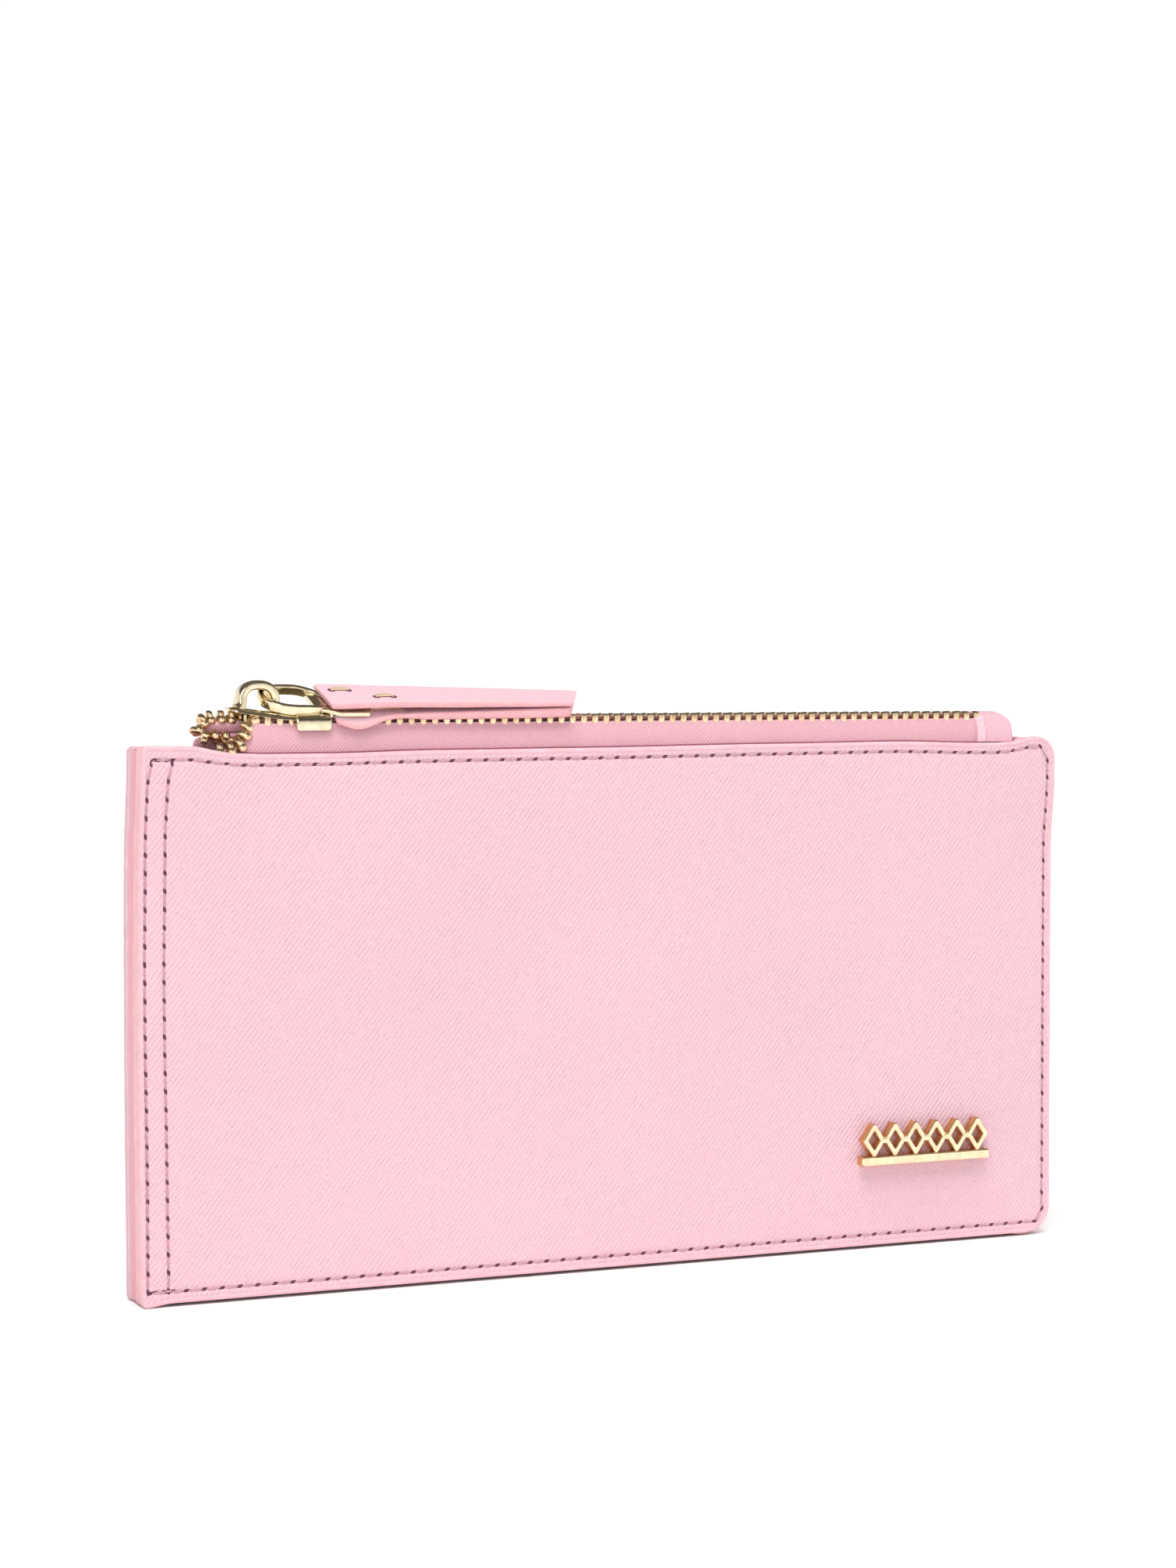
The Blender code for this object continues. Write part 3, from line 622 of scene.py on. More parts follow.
def stitch_run(shape, run, side, pitch):
    """A row of stitches: thread that rises from one needle hole and dips into the next."""
    places = walk(run, pitch)

    def surface(at, lift):
        """That place on the leather, lifted off it."""
        return Vector((at.x, side * (OUT_Y + relief(at.x, at.z, side) + lift), at.z))

    def ways(a, b):
        along = (b - a).normalized()
        return along, Vector((-along.z, 0, along.x))

    for i, (a, b) in enumerate(zip(places, places[1:])):
        across = ways(a, b)[1]
        rings = []
        for t in (0.0, 0.08, 0.2, 0.35, 0.5, 0.65, 0.8, 0.92, 1.0):
            arch = sin(pi * t)
            radius = 0.13 + 0.07 * arch
            at = a.lerp(b, t) + across * (0.12 * (t - 0.5)) * (1 if i % 2 else 0.8)
            centre = surface(at, -0.30 + 0.42 * sqrt(arch))
            rings.append(oval(centre, across, side * AXIS_Y, radius, radius, 8))
        shape.loft(rings)
    # Each needle hole: a small sunk oval in the dark hole look, painted shade.
    for at, ahead in zip(places, places[1:] + [2 * places[-1] - places[-2]]):
        along, across = ways(at, ahead)
        rings = []
        for spread, lift in ((0.62, -0.25), (1.0, 0.0), (0.85, 0.03)):
            hole = oval(at, along + across * 0.1, across, HOLE_LONG * spread, HOLE_WIDE * spread, 12)
            rings.append([surface(point, lift) for point in hole])
        shape.loft(rings, looks=1)


def wall_rows(side):
    """The stitch lines of a wall, each with its pitch: round the edge, and two columns near the left end."""
    low, right = ROW_LOW, HALF - ROW_IN

    def top_row(*xs):
        return [Vector((x, 0, lip(x, side) - ROW_IN - blend(ROW_DIP, x))) for x in xs]

    def corner(x, z, inside, *angles):
        return [Vector((x, 0, z)) + inside * Vector((c, 0, s)) for c, s in map(turned, angles)]

    inside = row_round(TOP)
    stops = -97.2, -93, -90, -86, -82, -78, -72, -62, -50, -30, -10, 10, 36, 50, 63, 75, 82, 89, 92
    run = top_row(*stops, right - inside)
    run += corner(right + RIGHT_LEAN - inside, run[-1].z - inside, inside, 75, 55, 35, 15, 0)
    run += [Vector((right_edge(z) - ROW_IN, 0, z)) for z in (98, 96, 94, 92, 90, 88, 86, 84, 81)]
    inside = row_round(0)
    run += corner(right - inside, low + inside, inside, 0, -20, -40, -60, -90)
    run.append(Vector((blend(FIRST_COLUMN, low) + 0.4, 0, low)))
    rows = [(run, STITCH)]
    for stops in (FIRST_COLUMN, SECOND_COLUMN):
        levels = (3.2, 10, 20, 35, 50, 65, 80, 90, 95, 99, 101.2, 102.6)
        rows.append(([Vector((blend(stops, z), 0, z)) for z in levels], COLUMN_STITCH))
    rows.append(([at - 0.05 * AXIS_Z for at in top_row(-96.4, -94.7)], TACK_STITCH))
    rows.append(([Vector((x, 0, low + 0.1)) for x in (-97.6, -94.2)], TACK_STITCH))
    return rows


def wall_stitches(side, name):
    """All the sewing on one wall."""
    shape = Shape()
    for run, pitch in wall_rows(side):
        stitch_run(shape, run, side, pitch)
    shape.made(name, [THREAD, HOLE_SHADE], "pouch", "saffiano_leather", smooth=70)


def outline(side, inset, start, end):
    """Points and outward directions round a wall: from its top at x start, down the left end, along the base
    and up the right end to its top at x end."""
    run = []
    left, right = LEFT_ROUND, RIGHT_ROUND

    def top(*xs):
        run.extend((Vector((x, 0, lip(x, side) - inset)), AXIS_Z) for x in xs)

    def bend(x, z, radius, *angles):
        for c, s in map(turned, angles):
            way = Vector((c, 0, s))
            run.append((Vector((x, 0, z)) + way * (radius - inset), way))

    top(start, start - 3, start - 6)
    bend(left_edge(TOP) + left, lip(-HALF + left, side) - left, left, 90, 112, 135, 158, 180)
    for k in range(1, 20):
        z = lip(-HALF, side) - left - (TOP - 2 * left) * k / 20
        run.append((Vector((left_edge(z) + inset, 0, z)), -AXIS_X))
    bend(-HALF + left, left, left, 180, 202, 225, 248, 270)
    run += [(Vector((x, 0, foot(x) + inset)), -AXIS_Z) for x in (-98, -97, -96, *range(-95, 93, 5))]
    bend(HALF - LOW_ROUND, LOW_ROUND, LOW_ROUND, 270, 285, 300, 315, 330, 345, 360)
    run += [(Vector((right_edge(z) - inset, 0, z)), AXIS_X) for z in range(10, 98, 6)]
    bend(HALF + RIGHT_LEAN - right, lip(HALF - right, side) - right, right, 0, 15, 30, 45, 60, 75, 90)
    top(93.5, end)
    return run


def wall_edge(side, name, look, inner_left):
    """The painted edge that seals the board and the lining under the leather."""
    rings = []
    for at, way in outline(side, 0.12, -89, 91.5):
        leftness = ease(-at.x, 98.6, 99.6)
        inner = (GUSSET_Y + 0.15) * (1 - leftness) + inner_left * leftness
        depth, outer = 0.38, SKIN_Y + 0.02
        section = [
            (-depth, outer), (-0.04, outer), (0.05, outer - 0.22), (0.07, (outer + inner) / 2),
            (0.02, inner + 0.3), (-0.12, inner + 0.06), (-depth, inner),
        ]
        rings.append([at + way * step + side * y * AXIS_Y for step, y in section])
    Shape().loft(rings).made(name, [look], "pouch", "painted_edge", smooth=50)


def gusset(name, node, run, near, depth):
    """A folded leather strip between the walls, a little hollow along its middle."""
    rings = []
    half = GUSSET_Y - 0.04
    for at, way in run:
        ys = [near + (half - near) * k / 8 for k in range(9)]
        outer = [(depth + 0.1 * sin(pi * k / 8), y) for k, y in enumerate(ys)]
        inner = [(1.7, y) for y in reversed(ys)]
        rings.append([at - way * step + y * AXIS_Y for step, y in outer + inner])
    Shape().loft(rings).made(name, [INNER_LEATHER], "pouch", "painted_edge", [node], smooth=50)


def make_gussets():
    """One strip, in the three lengths that the CAD has."""
    run = outline(1, 0.0, -90, 91)
    run = [(Vector((at.x, 0, min(at.z, TOP + 0.2))) if at.z > TOP - 3 else at, way) for at, way in run]
    bottom = [i for i, (at, way) in enumerate(run) if way.z < -0.99 and abs(at.x) <= 92]
    first, last = bottom[0], bottom[-1]
    near = 0.04 - GUSSET_Y
    gusset("gusset_left_strip", "gusset_left", run[:first + 1], -0.3, 0.16)
    gusset("gusset_base_strip", "gusset_bottom", run[first:last + 1], near, 0.42)
    gusset("gusset_right_strip", "gusset_right", run[last:], near, 0.42)


def cloth_sheet(name, node, hem):
    """A thin cloth layer with a turned hem at its top, gently waved between its sewn edges."""
    low, high = cad(node)
    middle = (low.y + high.y) / 2
    width, height = high.x - low.x - 1.2, high.z - low.z - 0.4
    grid = []
    for k in range(41):
        x = low.x + 0.6 + width * k / 40
        row = []
        for z in stations(low.z + 0.4, high.z, [0, 0.8, 2.0], [0, 0.3, 1.0, 1.6, 2.0, 3.0], 5.0):
            free = ease(min(x - low.x, high.x - x, z - low.z), 0, 18)
            centre = middle + SHEET_WAVE * free * wander(x, z, 24, 9 + middle)
            thick = SHEET_HALF + (0.07 if high.z - z < hem else 0.0)
            row.append(((x, centre - thick, z), (x, centre + thick, z)))
        grid.append(row)
    piece = Shape().layer(grid).made(name, [LINING], "pouch", "lining_cloth", [node], smooth=50)


# Zip

def belly(x, z):
    """Distance of the tape from the middle plane: inside the wall, then leaning in to the teeth."""
    rise = (z - TOP + 0.4) / (TEETH_Z - TOP + 0.4)
    if rise <= 0:
        return TAPE_Y
    lean = TAPE_Y + (BEAD_Y + 0.45 - TAPE_Y) * rise ** 1.6
    return lean + (0.26 + 0.10 * wander(x, 0, 11)) * sin(pi * clamp(rise))


def make_tape(side, name, node, left, tuck):
    """A twill tape with a corded edge; its left end is turned in and down."""
    right = tab_low.x + 3.0
    low = TAPE_FOOT
    grid = []
    for x in stations(left, right, [0, 0.15, 0.4, 0.8, 1.3, 2.0, 3.0, 4.2], [0, 1, 2], 1.6):
        fall = 1 - sqrt(1 - clamp((left + tuck - x) / tuck) ** 2)
        crest = TEETH_Z - 0.62 - 5.0 * fall
        # the row just above the wall's lip, where the painted shadow band ends
        shadow_top = min(lip(x, side) + 0.28, crest - 1)
        zs = [low + (shadow_top - low) * k / 5 for k in range(5)]
        zs += [shadow_top + (crest - shadow_top) * k / 12 for k in range(13)]
        row = []
        for z in zs:
            y = belly(x, z) - 2.4 * fall * ease(z, TOP - 1, TOP + 3)
            thick = 0.24 + 0.16 * ease((z - low) / (crest - low), 0.93, 1.0)
            row.append(((x, side * (y + thick), z), (x, side * (y - thick), z)))
        grid.append(row)
    shape = Shape().layer(grid)
    start = left + tuck * 0.8
    # The cord is real, but its dark colour is painted shade between the teeth.
    cord = [Vector((x, side * BEAD_Y, TEETH_Z)) for x in (start, start + 5, 0, 40, right - 0.8)]
    shape.loft([oval(at, AXIS_Y, AXIS_Z, 0.55, 0.42, 10) for at in cord], looks=1)
    tape = shape.made(name, [TAPE_CLOTH, CORD_SHADE, TAPE_SHADOW], "pouch", "zip_tape", [node], smooth=50)
    # Faces up to just above the wall's lip take the dark twill: a painted shadow line at the tape's foot.
    for face in tape.data.polygons:
        middle = face.center * 1000
        if middle.z < lip(middle.x, side) + 0.27:
            face.material_index = 2


TOOTH = [  # reach towards the tip, half width, half height
    (-1.26, 0.42, 0.50), (-1.14, 0.60, 0.78), (-0.75, 0.74, 0.90), (0.20, 0.72, 0.90), (0.52, 0.60, 0.80),
    (0.78, 0.48, 0.60), (1.45, 0.50, 0.56), (1.85, 0.44, 0.46), (2.10, 0.26, 0.28),
]


def tooth(shape, at, along, tip, reach_share=1.0, girth=1.0):
    """One zip tooth: a clamp over the tape's cord, and a narrower head with a rounded tip."""
    up = along.cross(tip).normalized()
    tip = up.cross(along).normalized()
    rings = []
    for reach, wide, tall in TOOTH:
        ring = []
        for k in range(12):
            c, s = turned(30 * k + 15)
            deep = tall * (1.0 if s * up.z > 0 else TEETH_DEEP)
            out = along * wide * signed(c, 0.7) + up * deep * signed(s, 0.7)
            ring.append(at + tip * reach * reach_share + out * girth)
        rings.append(ring)
    shape.loft(rings)


FRONT_END = [
    ((-76.0, -2.35, 110.4), (0, 1, 0.1)),
    ((-77.5, -2.6, 109.9), (-0.5, 0.1, 0.85)),
    ((-78.4, -3.0, 108.6), (-0.9, -0.3, 0.3)),
    ((-79.0, -3.4, 107.2), (-0.9, -0.4, 0.25)),
    ((-79.9, -3.75, 106.0), (-0.7, -0.5, 0.5)),
    ((-81.6, -3.95, 105.35), (-0.2, -0.5, 0.8)),
    ((-84.2, -4.0, 105.1), (0, -0.5, 0.8)),
]
BACK_END = [
    ((-76.0, 2.35, 110.4), (0, -1, 0.2)),
    ((-78.6, 1.9, 110.9), (0.1, -0.5, 0.85)),
    ((-81.4, 1.6, 111.1), (0, -0.35, 0.95)),
    ((-84.0, 1.4, 111.0), (-0.2, -0.3, 0.9)),
    ((-86.0, 1.1, 110.2), (-0.7, -0.4, 0.6)),
    ((-86.9, 0.6, 109.0), (-0.9, -0.5, 0.1)),
    ((-86.3, 0.0, 107.9), (-0.6, -0.6, -0.5)),
    ((-84.2, -0.6, 107.5), (0, -0.9, -0.3)),
    ((-82.0, -1.1, 107.6), (0.2, -0.9, 0.3)),
    ((-80.2, -1.6, 107.3), (-0.2, -0.9, 0.4)),
    ((-80.6, -2.2, 106.0), (-0.6, -0.8, 0.1)),
]


def make_teeth(side, name, node, end):
    """A row of teeth: straight and closed from the right end to the slider, then turned down."""
    shape = Shape()
    shift = 0.0 if side < 0 else PITCH / 2
    x = CHAIN_RIGHT_X - 0.7 - shift
    inward = -side * AXIS_Y
    while x > CHAIN_STRAIGHT_X + 1:
        tooth(shape, Vector((x, side * BEAD_Y, TEETH_Z)), AXIS_X, inward)
        x -= PITCH
    centres = spline([at for at, _ in end], 10)
    tips = spline([tip for _, tip in end], 10)
    travelled, wanted = 0.0, max(0.4, CHAIN_STRAIGHT_X - x)
    for i in range(1, len(centres)):
        step = (centres[i] - centres[i - 1]).length
        while wanted <= travelled + step and wanted >= 0:
            t = (wanted - travelled) / step
            along = (centres[i - 1] - centres[i]).normalized()
            sway = 0.9 * wander(wanted * 7, side, 3.0, 4)
            lean = 1.3 * wander(wanted * 5, side, 2.0, 11)
            at = centres[i - 1].lerp(centres[i], t)
            at = at + Vector((0.5 * sway, 0, 0.7 * lean)) * ease(wanted, 2, 4)
            tip = (tips[i] + along * sway + along.cross(tips[i]) * lean).normalized()
            tooth(shape, at, along, tip, 0.75, 1.28 + 0.2 * sway)
            wanted += PITCH * 0.8
        travelled += step
    shape.made(name, [ZIP_METAL], "pouch", "zip_brass", [node], smooth=45)


def ribbon(shape, run, widths, thick, across):
    """A soft strip of tape along a run of points, each with the direction it spreads in."""
    rings = []
    for i, (at, way, width) in enumerate(zip(run, across, widths)):
        face = heading(run, i).cross(way.normalized()).normalized()
        ring = []
        for k in range(14):
            c, s = turned(360 * k / 14)
            ring.append(at + way.normalized() * width / 2 * signed(c, 0.6) + face * thick * s)
        rings.append(ring)
    shape.loft(rings)


TAPE_FOLDS = [  # width, then the places that the fold runs through
    (2.3, (-84.9, 1.6, 109.0), (-83, 1.2, 109.4), (-81, 1.2, 109.2), (-79, 1.0, 109.4), (-77.2, 0.8, 109.2)),
    (3.6, (-87.4, 1.6, 105.7), (-86, 1.2, 106.2), (-84, 1, 106.5), (-81.5, 0.9, 106.3), (-78.5, 0.9, 106.5)),
]


def make_tape_ends():
    """The tapes' loose left ends: each carries its teeth round the turn, and two folds fill it."""
    shape = Shape()
    for end, inset, wide in ((FRONT_END, 1.2, 2.6), (BACK_END, 1.25, 2.9)):
        run = spline([at for at, _ in end[1:]], 6)
        tips = [tip.normalized() for tip in spline([tip for _, tip in end[1:]], 6)]
        middle = [at - tip * inset + 0.25 * AXIS_Y for at, tip in zip(run, tips)]
        widths = [wide * (0.9 + 0.12 * sin(i * 1.3)) for i in range(len(run))]
        ribbon(shape, middle, widths, 0.42, tips)
    for wide, *points in TAPE_FOLDS:
        widths = [wide * share for share in (0.75, 1.0, 0.9, 1.1, 1.0)]
        ribbon(shape, [Vector(p) for p in points], widths, 0.6, [Vector((0.2, -0.4, 1))] * len(points))
    # The loose ends take the brighter twill: painted light.
    shape.made("zip_tape_ends", [LOOSE_CLOTH_PAINTED_LIGHT], "pouch", "zip_tape", smooth=60)


def make_tab():
    """The folded leather cover over the zip's right end: a proud strip at its left, closed at its right."""
    left, right = tab_low.x + 1.0, tab_high.x + 1.0
    corner, closing, shoulder, over_tape = 3.7, 1.3, 1.6, 0.62
    crest_z, floor = tab_high.z + 0.2, tab_low.z - 0.25

    def ring(x, grow):
        """Section at x: up the far side, over the crest and down the near side."""
        fall = corner * (1 - sqrt(1 - clamp((x - right + corner) / corner) ** 2))
        crest = crest_z - fall + min(grow, 0.02)
        cover = belly(0, crest - shoulder) + over_tape + grow
        pinch = 0.01 + 0.99 * sqrt(1 - clamp((x - right + closing) / closing) ** 2)
        points = []
        for angle in range(0, 181, 10):
            c, s = turned(angle)
            y = cover * signed(c, 0.6)
            level = crest - shoulder + shoulder * abs(s) ** 0.8 - 0.16 * max(0.0, -y)
            points.append((x, y * pinch, max(level, floor + 1.5)))
        far = [floor + (points[0][2] - floor) * k / 7 for k in range(7)]
        near = [floor + (points[-1][2] - floor) * k / 7 for k in reversed(range(7))]
        points = [(x, (belly(0, z) + over_tape + grow) * pinch, z) for z in far] + points
        return points + [(x, (-belly(0, z) - over_tape - grow) * pinch, z) for z in near]

    grid = []
    near_strip = [0, 0.1, 0.3, 0.8, 1.6, 1.95, 2.1, 2.22, 2.34, 2.46, 2.6, 2.9]
    near_end = [0, 0.02, 0.06, 0.13, 0.25, 0.45, 0.7, 1.0, 1.3, 1.8, 2.4, 3.0]
    for x in stations(left, right, near_strip, near_end, 0.7):
        fold = 0.34 * (1 - ease(x, left + 1.95, left + 2.25)) * ease(x, left - 0.1, left + 0.25)
        crease = -0.26 * hump(x - left - 2.36, 0.2)
        grid.append(list(zip(ring(x, fold + crease), ring(x, fold + crease - 0.5))))
    # The fold strip takes the lighter strap leather, a painted highlight; the crease beside it takes the
    # darker grey-pink paint, painted shade.
    looks = [TAB_LEATHER, PAINTED_LIP, STRAP_AND_FOLD_HIGHLIGHT, PAINTED_BACK_AND_CREASE_SHADE]
    shape = Shape().layer(grid)
    tab = shape.made("zip_end_cover", looks, "pouch", "saffiano_leather", ["zip_end_tab"], smooth=60)

    def rule(middle):
        if middle.x < left + 0.12 or middle.z < floor + 0.3:
            return 1
        # the fold strip: lighter leather, a painted highlight
        if middle.x < left + 2.2:
            return 2
        # the crease: darker grey-pink paint, painted shade
        return 3 if middle.x < left + 2.5 else 0

    paint_faces(tab, rule)


# Slider

FLANGE = [  # outline of a flange: distance from the middle plane, and height
    (4.35, 108.7), (4.55, 108.58), (4.85, 108.62), (5.02, 108.85), (5.05, 109.9), (4.98, 110.85),
    (4.7, 111.2), (4.3, 111.55), (3.75, 111.75), (3.7, 111.35), (4.1, 111.05), (4.32, 110.7), (4.36, 109.8),
]
FLANGE_MIDDLE = Vector((0, 4.6, 110.1))


def top_plate(shape, tail, nose):
    """The domed plate, which narrows to its nose and has a ledge along its rim."""
    length = tail - nose
    rings = []
    for share in [0, 0.01, 0.03] + [0.06 + 0.04 * k for k in range(22)] + [0.93, 0.955, 0.975, 0.99, 1.0]:
        x = tail - length * share
        wide = blend(PLATE_WIDTHS, share)
        close = min(share, 1 - share) * length
        soft = min(1.0, close / 0.35)
        half_thick = PLATE / 2 * sqrt(max(0.15, 1 - (1 - soft) ** 2))
        top, under = [], []
        for k in range(19):
            y = wide * (-1 + 2 * k / 18)
            z = blend(PLATE_CREST, share) - PLATE / 2 - PLATE_DROP * (abs(y) / 4.75) ** 4
            z -= 0.16 * ease(abs(y), wide - 1.35, wide - 1.1) * ease(close, 0.4, 1.2)
            edge = max(0.0, (abs(y) - wide + 0.4) / 0.4)
            thick = half_thick * sqrt(max(0.0, 1 - edge ** 2)) + 0.04
            top.append(Vector((x, y, z + thick)))
            under.append(Vector((x, y, z - thick)))
        rings.append(top + list(reversed(under)))
    shape.loft(rings)


def make_slider():
    """The slider: a domed plate, two flanges, a thin blade and the lower plate."""
    shape = Shape()
    tail, nose = plate_high.x, plate_low.x + 1.1
    top_plate(shape, tail, nose)
    start, end = tail - 7.2, tail - 0.3
    for side in (-1, 1):
        rings = []
        for x in stations(start, end, [0, 0.1, 0.25, 0.5], [0, 0.1, 0.25, 0.5], 1.5):
            shrink = 0.22 * (1 - sqrt(clamp(min(x - start, end - x) / 0.3)))
            ring = [Vector((0, y, z)).lerp(FLANGE_MIDDLE, shrink) for y, z in FLANGE]
            rings.append([Vector((x, side * point.y, point.z)) for point in ring])
        shape.loft(rings)
    floor = TEETH_Z - 2.0
    levels = (floor + 0.2, 110, 112.2)
    shape.loft([oval(Vector((nose + 5.4, 0, z)), AXIS_X, AXIS_Y, 2.0, 0.15, 12, 0.6) for z in levels])
    start = nose + 3.2
    rings = []
    for x in stations(start, end, [0, 0.15, 0.4, 1.2], [0, 0.15, 0.4], 3.0):
        wide = 2.55 * sqrt(min(1.0, 0.55 + min(x - start, end - x) / 2.4))
        rings.append(oval(Vector((x, 0, floor + 0.4)), AXIS_Y, AXIS_Z, wide, 0.4, 16, 0.45))
    shape.loft(rings)
    shape.made("slider_shell", [HARDWARE], "slider", "gold_hardware", ["slider_body"], smooth=42)


def make_crown():
    """The arched loop on the slider: a flat band with rounded edges and spread feet."""
    centre = Vector(((crown_low.x + crown_high.x) / 2 - 0.1, 0, crown_high.z - 4.25))
    base = crown_low.z - 0.15
    radius = 3.35
    line = [Vector((centre.x + radius + 0.45, 0, base)), Vector((centre.x + radius + 0.15, 0, base + 0.5))]
    for angle in range(0, 181, 9):
        c, s = turned(angle)
        line.append(centre + Vector((signed(c, 0.82), 0, abs(s) ** 0.82)) * radius)
    line += [Vector((centre.x - radius - 0.2, 0, base + 0.5)), Vector((centre.x - radius - 0.7, 0, base))]
    rings = []
    for i, at in enumerate(line):
        out = heading(line, i).cross(AXIS_Y).normalized()
        spread = ease(abs(i - (len(line) - 1) / 2), 9, 12)
        rings.append(oval(at, AXIS_Y, out, 2.0 + 0.25 * spread, 0.98, 28, 0.58))
    loop = Shape().loft(rings)
    loop.made("slider_loop", [HARDWARE], "slider", "gold_hardware", ["slider_crown"], smooth=45)


# Pull

def on_pull(x, y, z, roll=None):
    """A point given along, across and above the pull, which lies rolled with its near side lower."""
    c, s = turned(blend(PLY_ROLL, x) if roll is None else roll)
    return Vector((PIVOT.x + x, y * c - z * s, PIVOT.z + y * s + z * c))


def laid(ring, roll=None):
    """A ring of such points."""
    return [on_pull(*point, roll) for point in ring]


TONGUE = [
    (9.8, 3.2), (10.3, 4.0), (11.5, 4.7), (13.0, 5.3), (14.2, 5.75), (20.4, 5.75), (20.9, 4.4), (21.6, 3.5),
    (28.2, 3.5),
]


def make_link():
    """The oval ring and the flat tongue that runs between the plies."""
    shape = Shape()

    def at(degrees):
        c, s = turned(degrees)
        x = RING_HALF_LENGTH * (1 + signed(c, 0.86))
        return Vector((x, RING_HALF_WIDTH * signed(s, 0.86), blend(RING_DROP, x)))

    rings = []
    for k in range(72):
        along = (at(5 * k + 3) - at(5 * k - 3)).normalized()
        out = along.cross(AXIS_Z).normalized()
        rings.append(laid(oval(at(5 * k), out, AXIS_Z, 0.6, 1.0, 20, 0.42), RING_ROLL))
    shape.loft(rings, closed=True)
    rings = []
    for x in stations(9.8, 28.2, [0, 0.1, 0.25, 0.5, 0.9, 1.4, 1.9, 2.4, 3.0], [0, 0.1, 0.3], 0.5):
        middle = Vector((x, 0, blend(TONGUE_MIDDLE, x)))
        rings.append(laid(oval(middle, AXIS_Y, AXIS_Z, blend(TONGUE, x), 0.48, 24, 0.25), TONGUE_ROLL))
    shape.loft(rings)
    shape.made("pull_ring_and_tongue", [HARDWARE], "pull", "gold_hardware", ["pull_link"], smooth=45)


def ply_section(half):
    """Round a strap: across from -half to half and up from -1 to 1, with a look for each side."""
    section, looks = [], []
    flat = half - 0.45
    for way in (1, -1):
        for k in range(11):
            u = way * (-1 + k / 5)
            section.append((u * flat, 1 + 0.1 * (1 - u * u) if way > 0 else -1))
        for angle in (60, 30, 0, -30, -60):
            c, s = turned(angle)
            section.append((way * (flat + 0.45 * c), way * s))
        looks += [0] * 10 + [1] * 6
    return section, looks


def ply(name, node, under, thick, left, right, sag):
    """A leather strap with rounded, painted edges and a slanted free end."""
    half = PULL_WIDTH / 2
    section, looks = ply_section(half)
    rings = []
    for x in stations(left, right, [0, 0.08, 0.2, 0.4, 0.8], [0, 0.06, 0.15, 0.3, 0.5, 0.8, 1.2, 1.8], 1.4):
        start, end = x - left, right - x
        low, tall = blend(under, x), blend(thick, x)
        thin = sqrt(min(1.0, 0.3 + 1.6 * min(start, end)))
        narrow = 1 - 0.10 * (1 - ease(end, 0, 1.3)) ** 2 - 0.04 * (1 - ease(start, 0, 0.8))
        skew = END_SKEW * ease(x, right - 16, right)
        ring = []
        for y, z in section:
            drop = sag * hump(x - 18.2, 4.4) * ease(-y, 4.5, half - 0.3)
            level = low + tall / 2 * (1 + z * thin) - drop + 0.06 * wander(x, y, 9, low)
            ring.append(on_pull(x + skew * y / half, y * narrow - 0.45 * drop, level))
        rings.append(ring)
    strap = Shape().loft(rings, looks=looks, cap_look=1)
    strap.made(name, [STRAP_AND_FOLD_HIGHLIGHT, PAINTED], "pull", "saffiano_leather", [node], smooth=50)


def make_staples():
    """Two gilt staples through the plies: a flat bar, with its legs in two holes painted dark as shade."""
    span = 3.5
    half_line = [(0, -3.2), (0, -0.3), (0.05, 0.05), (0.3, 0.19), (0.9, 0.24)]
    line = half_line + [(span / 2, 0.26)] + [(span - a, b) for a, b in reversed(half_line)]
    line = [Vector((a, 0, b)) for a, b in line]
    for name, node, x, y in (
        ("staple_inner", "pull_staple_inner", 14.7, 2.0), ("staple_outer", "pull_staple_outer", 22.6, -2.0),
    ):
        shape = Shape()
        start = Vector((x, y, blend(UPPER_UNDER, x) + 1.26))
        rings = []
        for i, at in enumerate(line):
            out = heading(line, i).cross(AXIS_Y)
            rings.append(laid(oval(start + at, AXIS_Y, out, 0.62, 0.17, 14, 0.6)))
        shape.loft(rings)
        # Each leg's hole: a small oval in the dark hole look, painted shade.
        for leg in (0, span):
            rings = []
            for spread, lift in ((0.5, -0.2), (1.0, -0.01), (0.9, 0.03)):
                middle = start + Vector((leg, -0.25, lift))
                rings.append(laid(oval(middle, AXIS_X, AXIS_Y, 0.75 * spread, 0.9 * spread, 14)))
            shape.loft(rings, looks=1)
        shape.made(name, [STAPLE, HOLE_SHADE], "pull", "gold_hardware", [node], smooth=50)


# Badge

def open_lozenge(shape, centre, half_width, half_height, back, front):
    """An open lozenge with a bevelled front and deep side walls."""
    bevel = front + 0.2
    section = [(1.0, back), (1.0, bevel), (0.94, front), (0.58, front), (0.52, bevel), (0.52, back)]
    rings = []
    tip = LOZENGE_TIP
    for across, up in ((1, 0), (0.12, tip), (-0.12, tip), (-1, 0), (-0.12, -tip), (0.12, -tip)):
        reach = Vector((across * half_width, 0, up * half_height))
        rings.append([centre + reach * share + y * AXIS_Y for share, y in section])
    shape.loft(rings, closed=True)


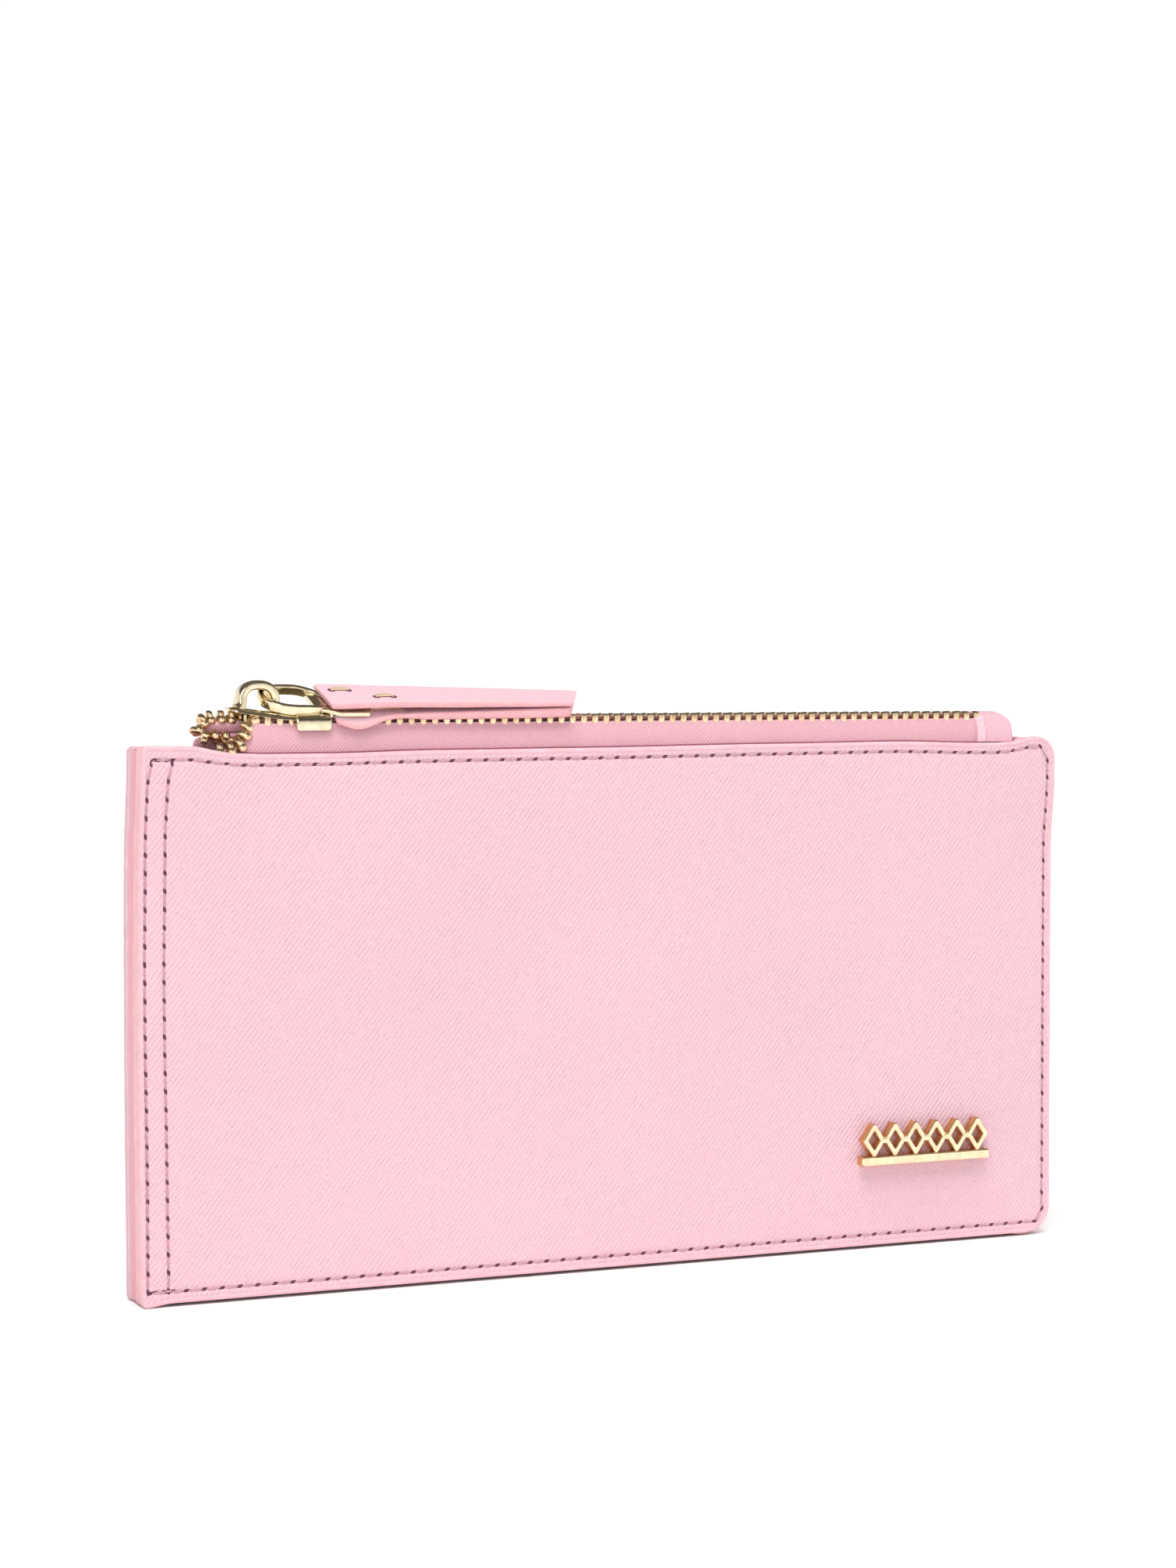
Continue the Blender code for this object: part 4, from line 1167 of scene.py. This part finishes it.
def make_badge():
    """A row of open lozenges with small studs between them, standing on a bevelled bar."""
    shape = Shape()
    back, front = -OUT_Y + 0.1, badge_low.y - BADGE_DEEPER
    left, right = badge_low.x + 0.6, badge_high.x - 1.6
    low, high = badge_low.z + 1.3, badge_high.z - 1.1
    bar, count, bevel = 1.85, 6, 0.22
    rings = []
    for x in stations(left, right, [0, bevel], [0, bevel], 5):
        soft = bevel if x in (left, right) else 0.0
        foot_z, head_z, face = low + soft, low + bar - soft, front + soft
        section = [
            (back, foot_z), (face + bevel, foot_z), (face, foot_z + bevel),
            (face, head_z - bevel), (face + bevel, head_z), (back, head_z),
        ]
        rings.append([(x, y, z) for y, z in section])
    shape.loft(rings)
    step = (right - left - 0.8) / count
    base = low + bar - 0.05
    middle = (base + high) / 2
    for i in range(count):
        centre = Vector((left + 0.4 + step * (i + 0.5), 0, middle))
        open_lozenge(shape, centre, step / 2 + 0.12, (high - base) / 2 / LOZENGE_TIP, back, front + 0.1)
    levels = ((back, 0.8), (front + 0.3, 0.8), (front + 0.06, 0.66), (front - 0.06, 0.34))
    for i in range(1, count):
        stud = Vector((left + 0.4 + step * i, 0, middle))
        shape.loft([oval(stud + y * AXIS_Y, AXIS_X, AXIS_Z, r, r, 15) for y, r in levels])
    prong_z = (badge_low.z + badge_high.z) / 2
    for prong_x in (-11, 11):
        middle = Vector(((badge_low.x + badge_high.x) / 2 + prong_x, 0, prong_z))
        corners = ((-0.4, -0.4), (0.4, -0.4), (0.4, 0.4), (-0.4, 0.4))
        shape.loft([[middle + Vector((a, y, b)) for a, b in corners] for y in (back - 0.3, 0.6 - BOARD_Y)])
    piece = shape.made("badge_ornament", [GILT, GILT_SIDE_SHADE], "pouch", "gilt_badge", ["badge"], smooth=30)
    # Faces turned to the front take the light gilt; all others take the darker orange gilt, painted shade
    # and reflection.
    for face in piece.data.polygons:
        face.material_index = 0 if face.normal.y < -0.5 else 1


# CAD nodes that keep their own shape

def finish_node(node, look, bevel=0.0):
    """Gives a CAD node its material, and softens its edges."""
    piece = frame["nodes"][node]
    piece.data.materials.clear()
    piece.data.materials.append(look)
    if bevel:
        weld = piece.modifiers.new("weld", "WELD")
        weld.merge_threshold = 0.00001
        soften = piece.modifiers.new("bevel", "BEVEL")
        soften.width = bevel * 0.001
        soften.segments = 2
        soften.limit_method = "ANGLE"
        soften.angle_limit = radians(35)


# Stage

CAMERA = Vector((-275.1, -594.7, 120.8))
YAW = 24.38
PITCH_DOWN = 2.06
LENS = 74.86


def make_camera():
    """The camera, low and a little to the left of the wallet."""
    yaw, down = radians(YAW), radians(PITCH_DOWN)
    forward = Vector((sin(yaw) * cos(down), cos(yaw) * cos(down), -sin(down)))
    data = bpy.data.cameras.new("camera")
    data.sensor_width = 36
    data.lens = LENS
    camera = put("camera", data, forward)
    camera.location = CAMERA * 0.001
    bpy.context.scene.camera = camera


def make_floor():
    """A plain pale floor."""
    mesh = bpy.data.meshes.new("floor")
    reach = 30.0
    corners = [(-reach, -reach, 0), (reach, -reach, 0), (reach, reach, 0), (-reach, reach, 0)]
    mesh.from_pydata(corners, [], [(0, 1, 2, 3)])
    look = Look("floor_paper", Specular_IOR_Level=0.1)
    paper = look.mix(look.noise(2.5, 3.0), (0.93, 0.93, 0.93), (0.91, 0.91, 0.91))
    mesh.materials.append(look.finish(paper, look.span(look.noise(1.5), 0.85, 0.95)))
    floor = put("floor", mesh)


def make_light():
    """Two soft suns, a soft panel at the front left, and a room that is white low down and dim above."""
    for name, energy, spread, aim in (
        ("key", 2.5, 35, (0.26, 0.38, -0.89)), ("fill", 1.5, 60, (-0.42, 0.16, -0.89)),
    ):
        sun = bpy.data.lights.new(name, "SUN")
        sun.energy = energy
        sun.angle = radians(spread)
        put(name, sun, Vector(aim)).visible_glossy = False
    panel = bpy.data.lights.new("front_panel_light", "AREA")
    panel.shape = "RECTANGLE"
    panel.size, panel.size_y = 0.9, 0.7
    panel.energy = 5.5
    place = Vector((-0.9, -1.2, 0.75))
    put("front_panel_light", panel, Vector((0, 0, 0.06)) - place).location = place
    world = bpy.data.worlds.new("studio")
    world.use_nodes = True
    sky = Nodes(world.node_tree)
    way = sky.node("ShaderNodeTexCoord").outputs["Generated"]
    ramp = sky.node("ShaderNodeValToRGB", i0=sky.node("ShaderNodeSeparateXYZ", i0=way).outputs["Z"])
    facing = sky.node("ShaderNodeVectorMath", {"operation": "DOT_PRODUCT"}, i0=way, i1=(-0.44, -0.90, 0.0))
    dimmed = sky.span(facing.outputs["Value"], 1.0, 0.4, 0.78, 0.97)
    shade = sky.node("ShaderNodeVectorMath", {"operation": "SCALE"}, i0=ramp.outputs[0], Scale=dimmed)
    stops = ramp.color_ramp.elements
    stops[0].position, stops[0].color = 0.24, (1, 1, 1, 1)
    stops[1].position, stops[1].color = 0.46, (0.06, 0.05, 0.04, 1)
    stops.new(0.85).color = (0.16, 0.14, 0.12, 1)
    background = sky.tree.nodes["Background"]
    background.inputs["Strength"].default_value = 1.08
    sky.tree.links.new(shade.outputs[0], background.inputs["Color"])
    bpy.context.scene.world = world
    bpy.context.scene.view_settings.view_transform = "Standard"


make_camera()
make_floor()
make_light()

wall_leather(-1, "front_leather", "front_panel")
wall_leather(1, "back_leather", "back_panel")
wall_stitches(-1, "front_stitching")
wall_stitches(1, "back_stitching")
wall_edge(-1, "front_edge_seal", PAINTED, 0.32)
wall_edge(1, "back_edge_seal", PAINTED_BACK_AND_CREASE_SHADE, 2.75)
make_gussets()
cloth_sheet("front_lining_cloth", "front_lining", 1.5)
cloth_sheet("back_lining_cloth", "back_lining", 1.5)
cloth_sheet("slip_pocket_cloth", "slip_pocket", 2.0)
finish_node("front_board", BOARD)
finish_node("back_board", BOARD)
finish_node("badge_washer", STEEL, 0.08)
finish_node("zip_stop", ZIP_METAL, 0.2)

make_tape(-1, "front_tape", "zip_tape_front", -79.8, 3.8)
make_tape(1, "back_tape", "zip_tape_back", -84.2, 4.0)
make_teeth(-1, "front_teeth", "zip_teeth_front", FRONT_END)
make_teeth(1, "back_teeth", "zip_teeth_back", BACK_END)
make_tape_ends()
make_tab()

make_slider()
make_crown()
make_link()
ply("strap_upper", "pull_strap_upper", UPPER_UNDER, UPPER_THICK, 12.4, 65.95, 0.0)
ply("strap_lower", "pull_strap_lower", LOWER_UNDER, LOWER_THICK, 13.6, 65.6, 1.85)
make_staples()
make_badge()
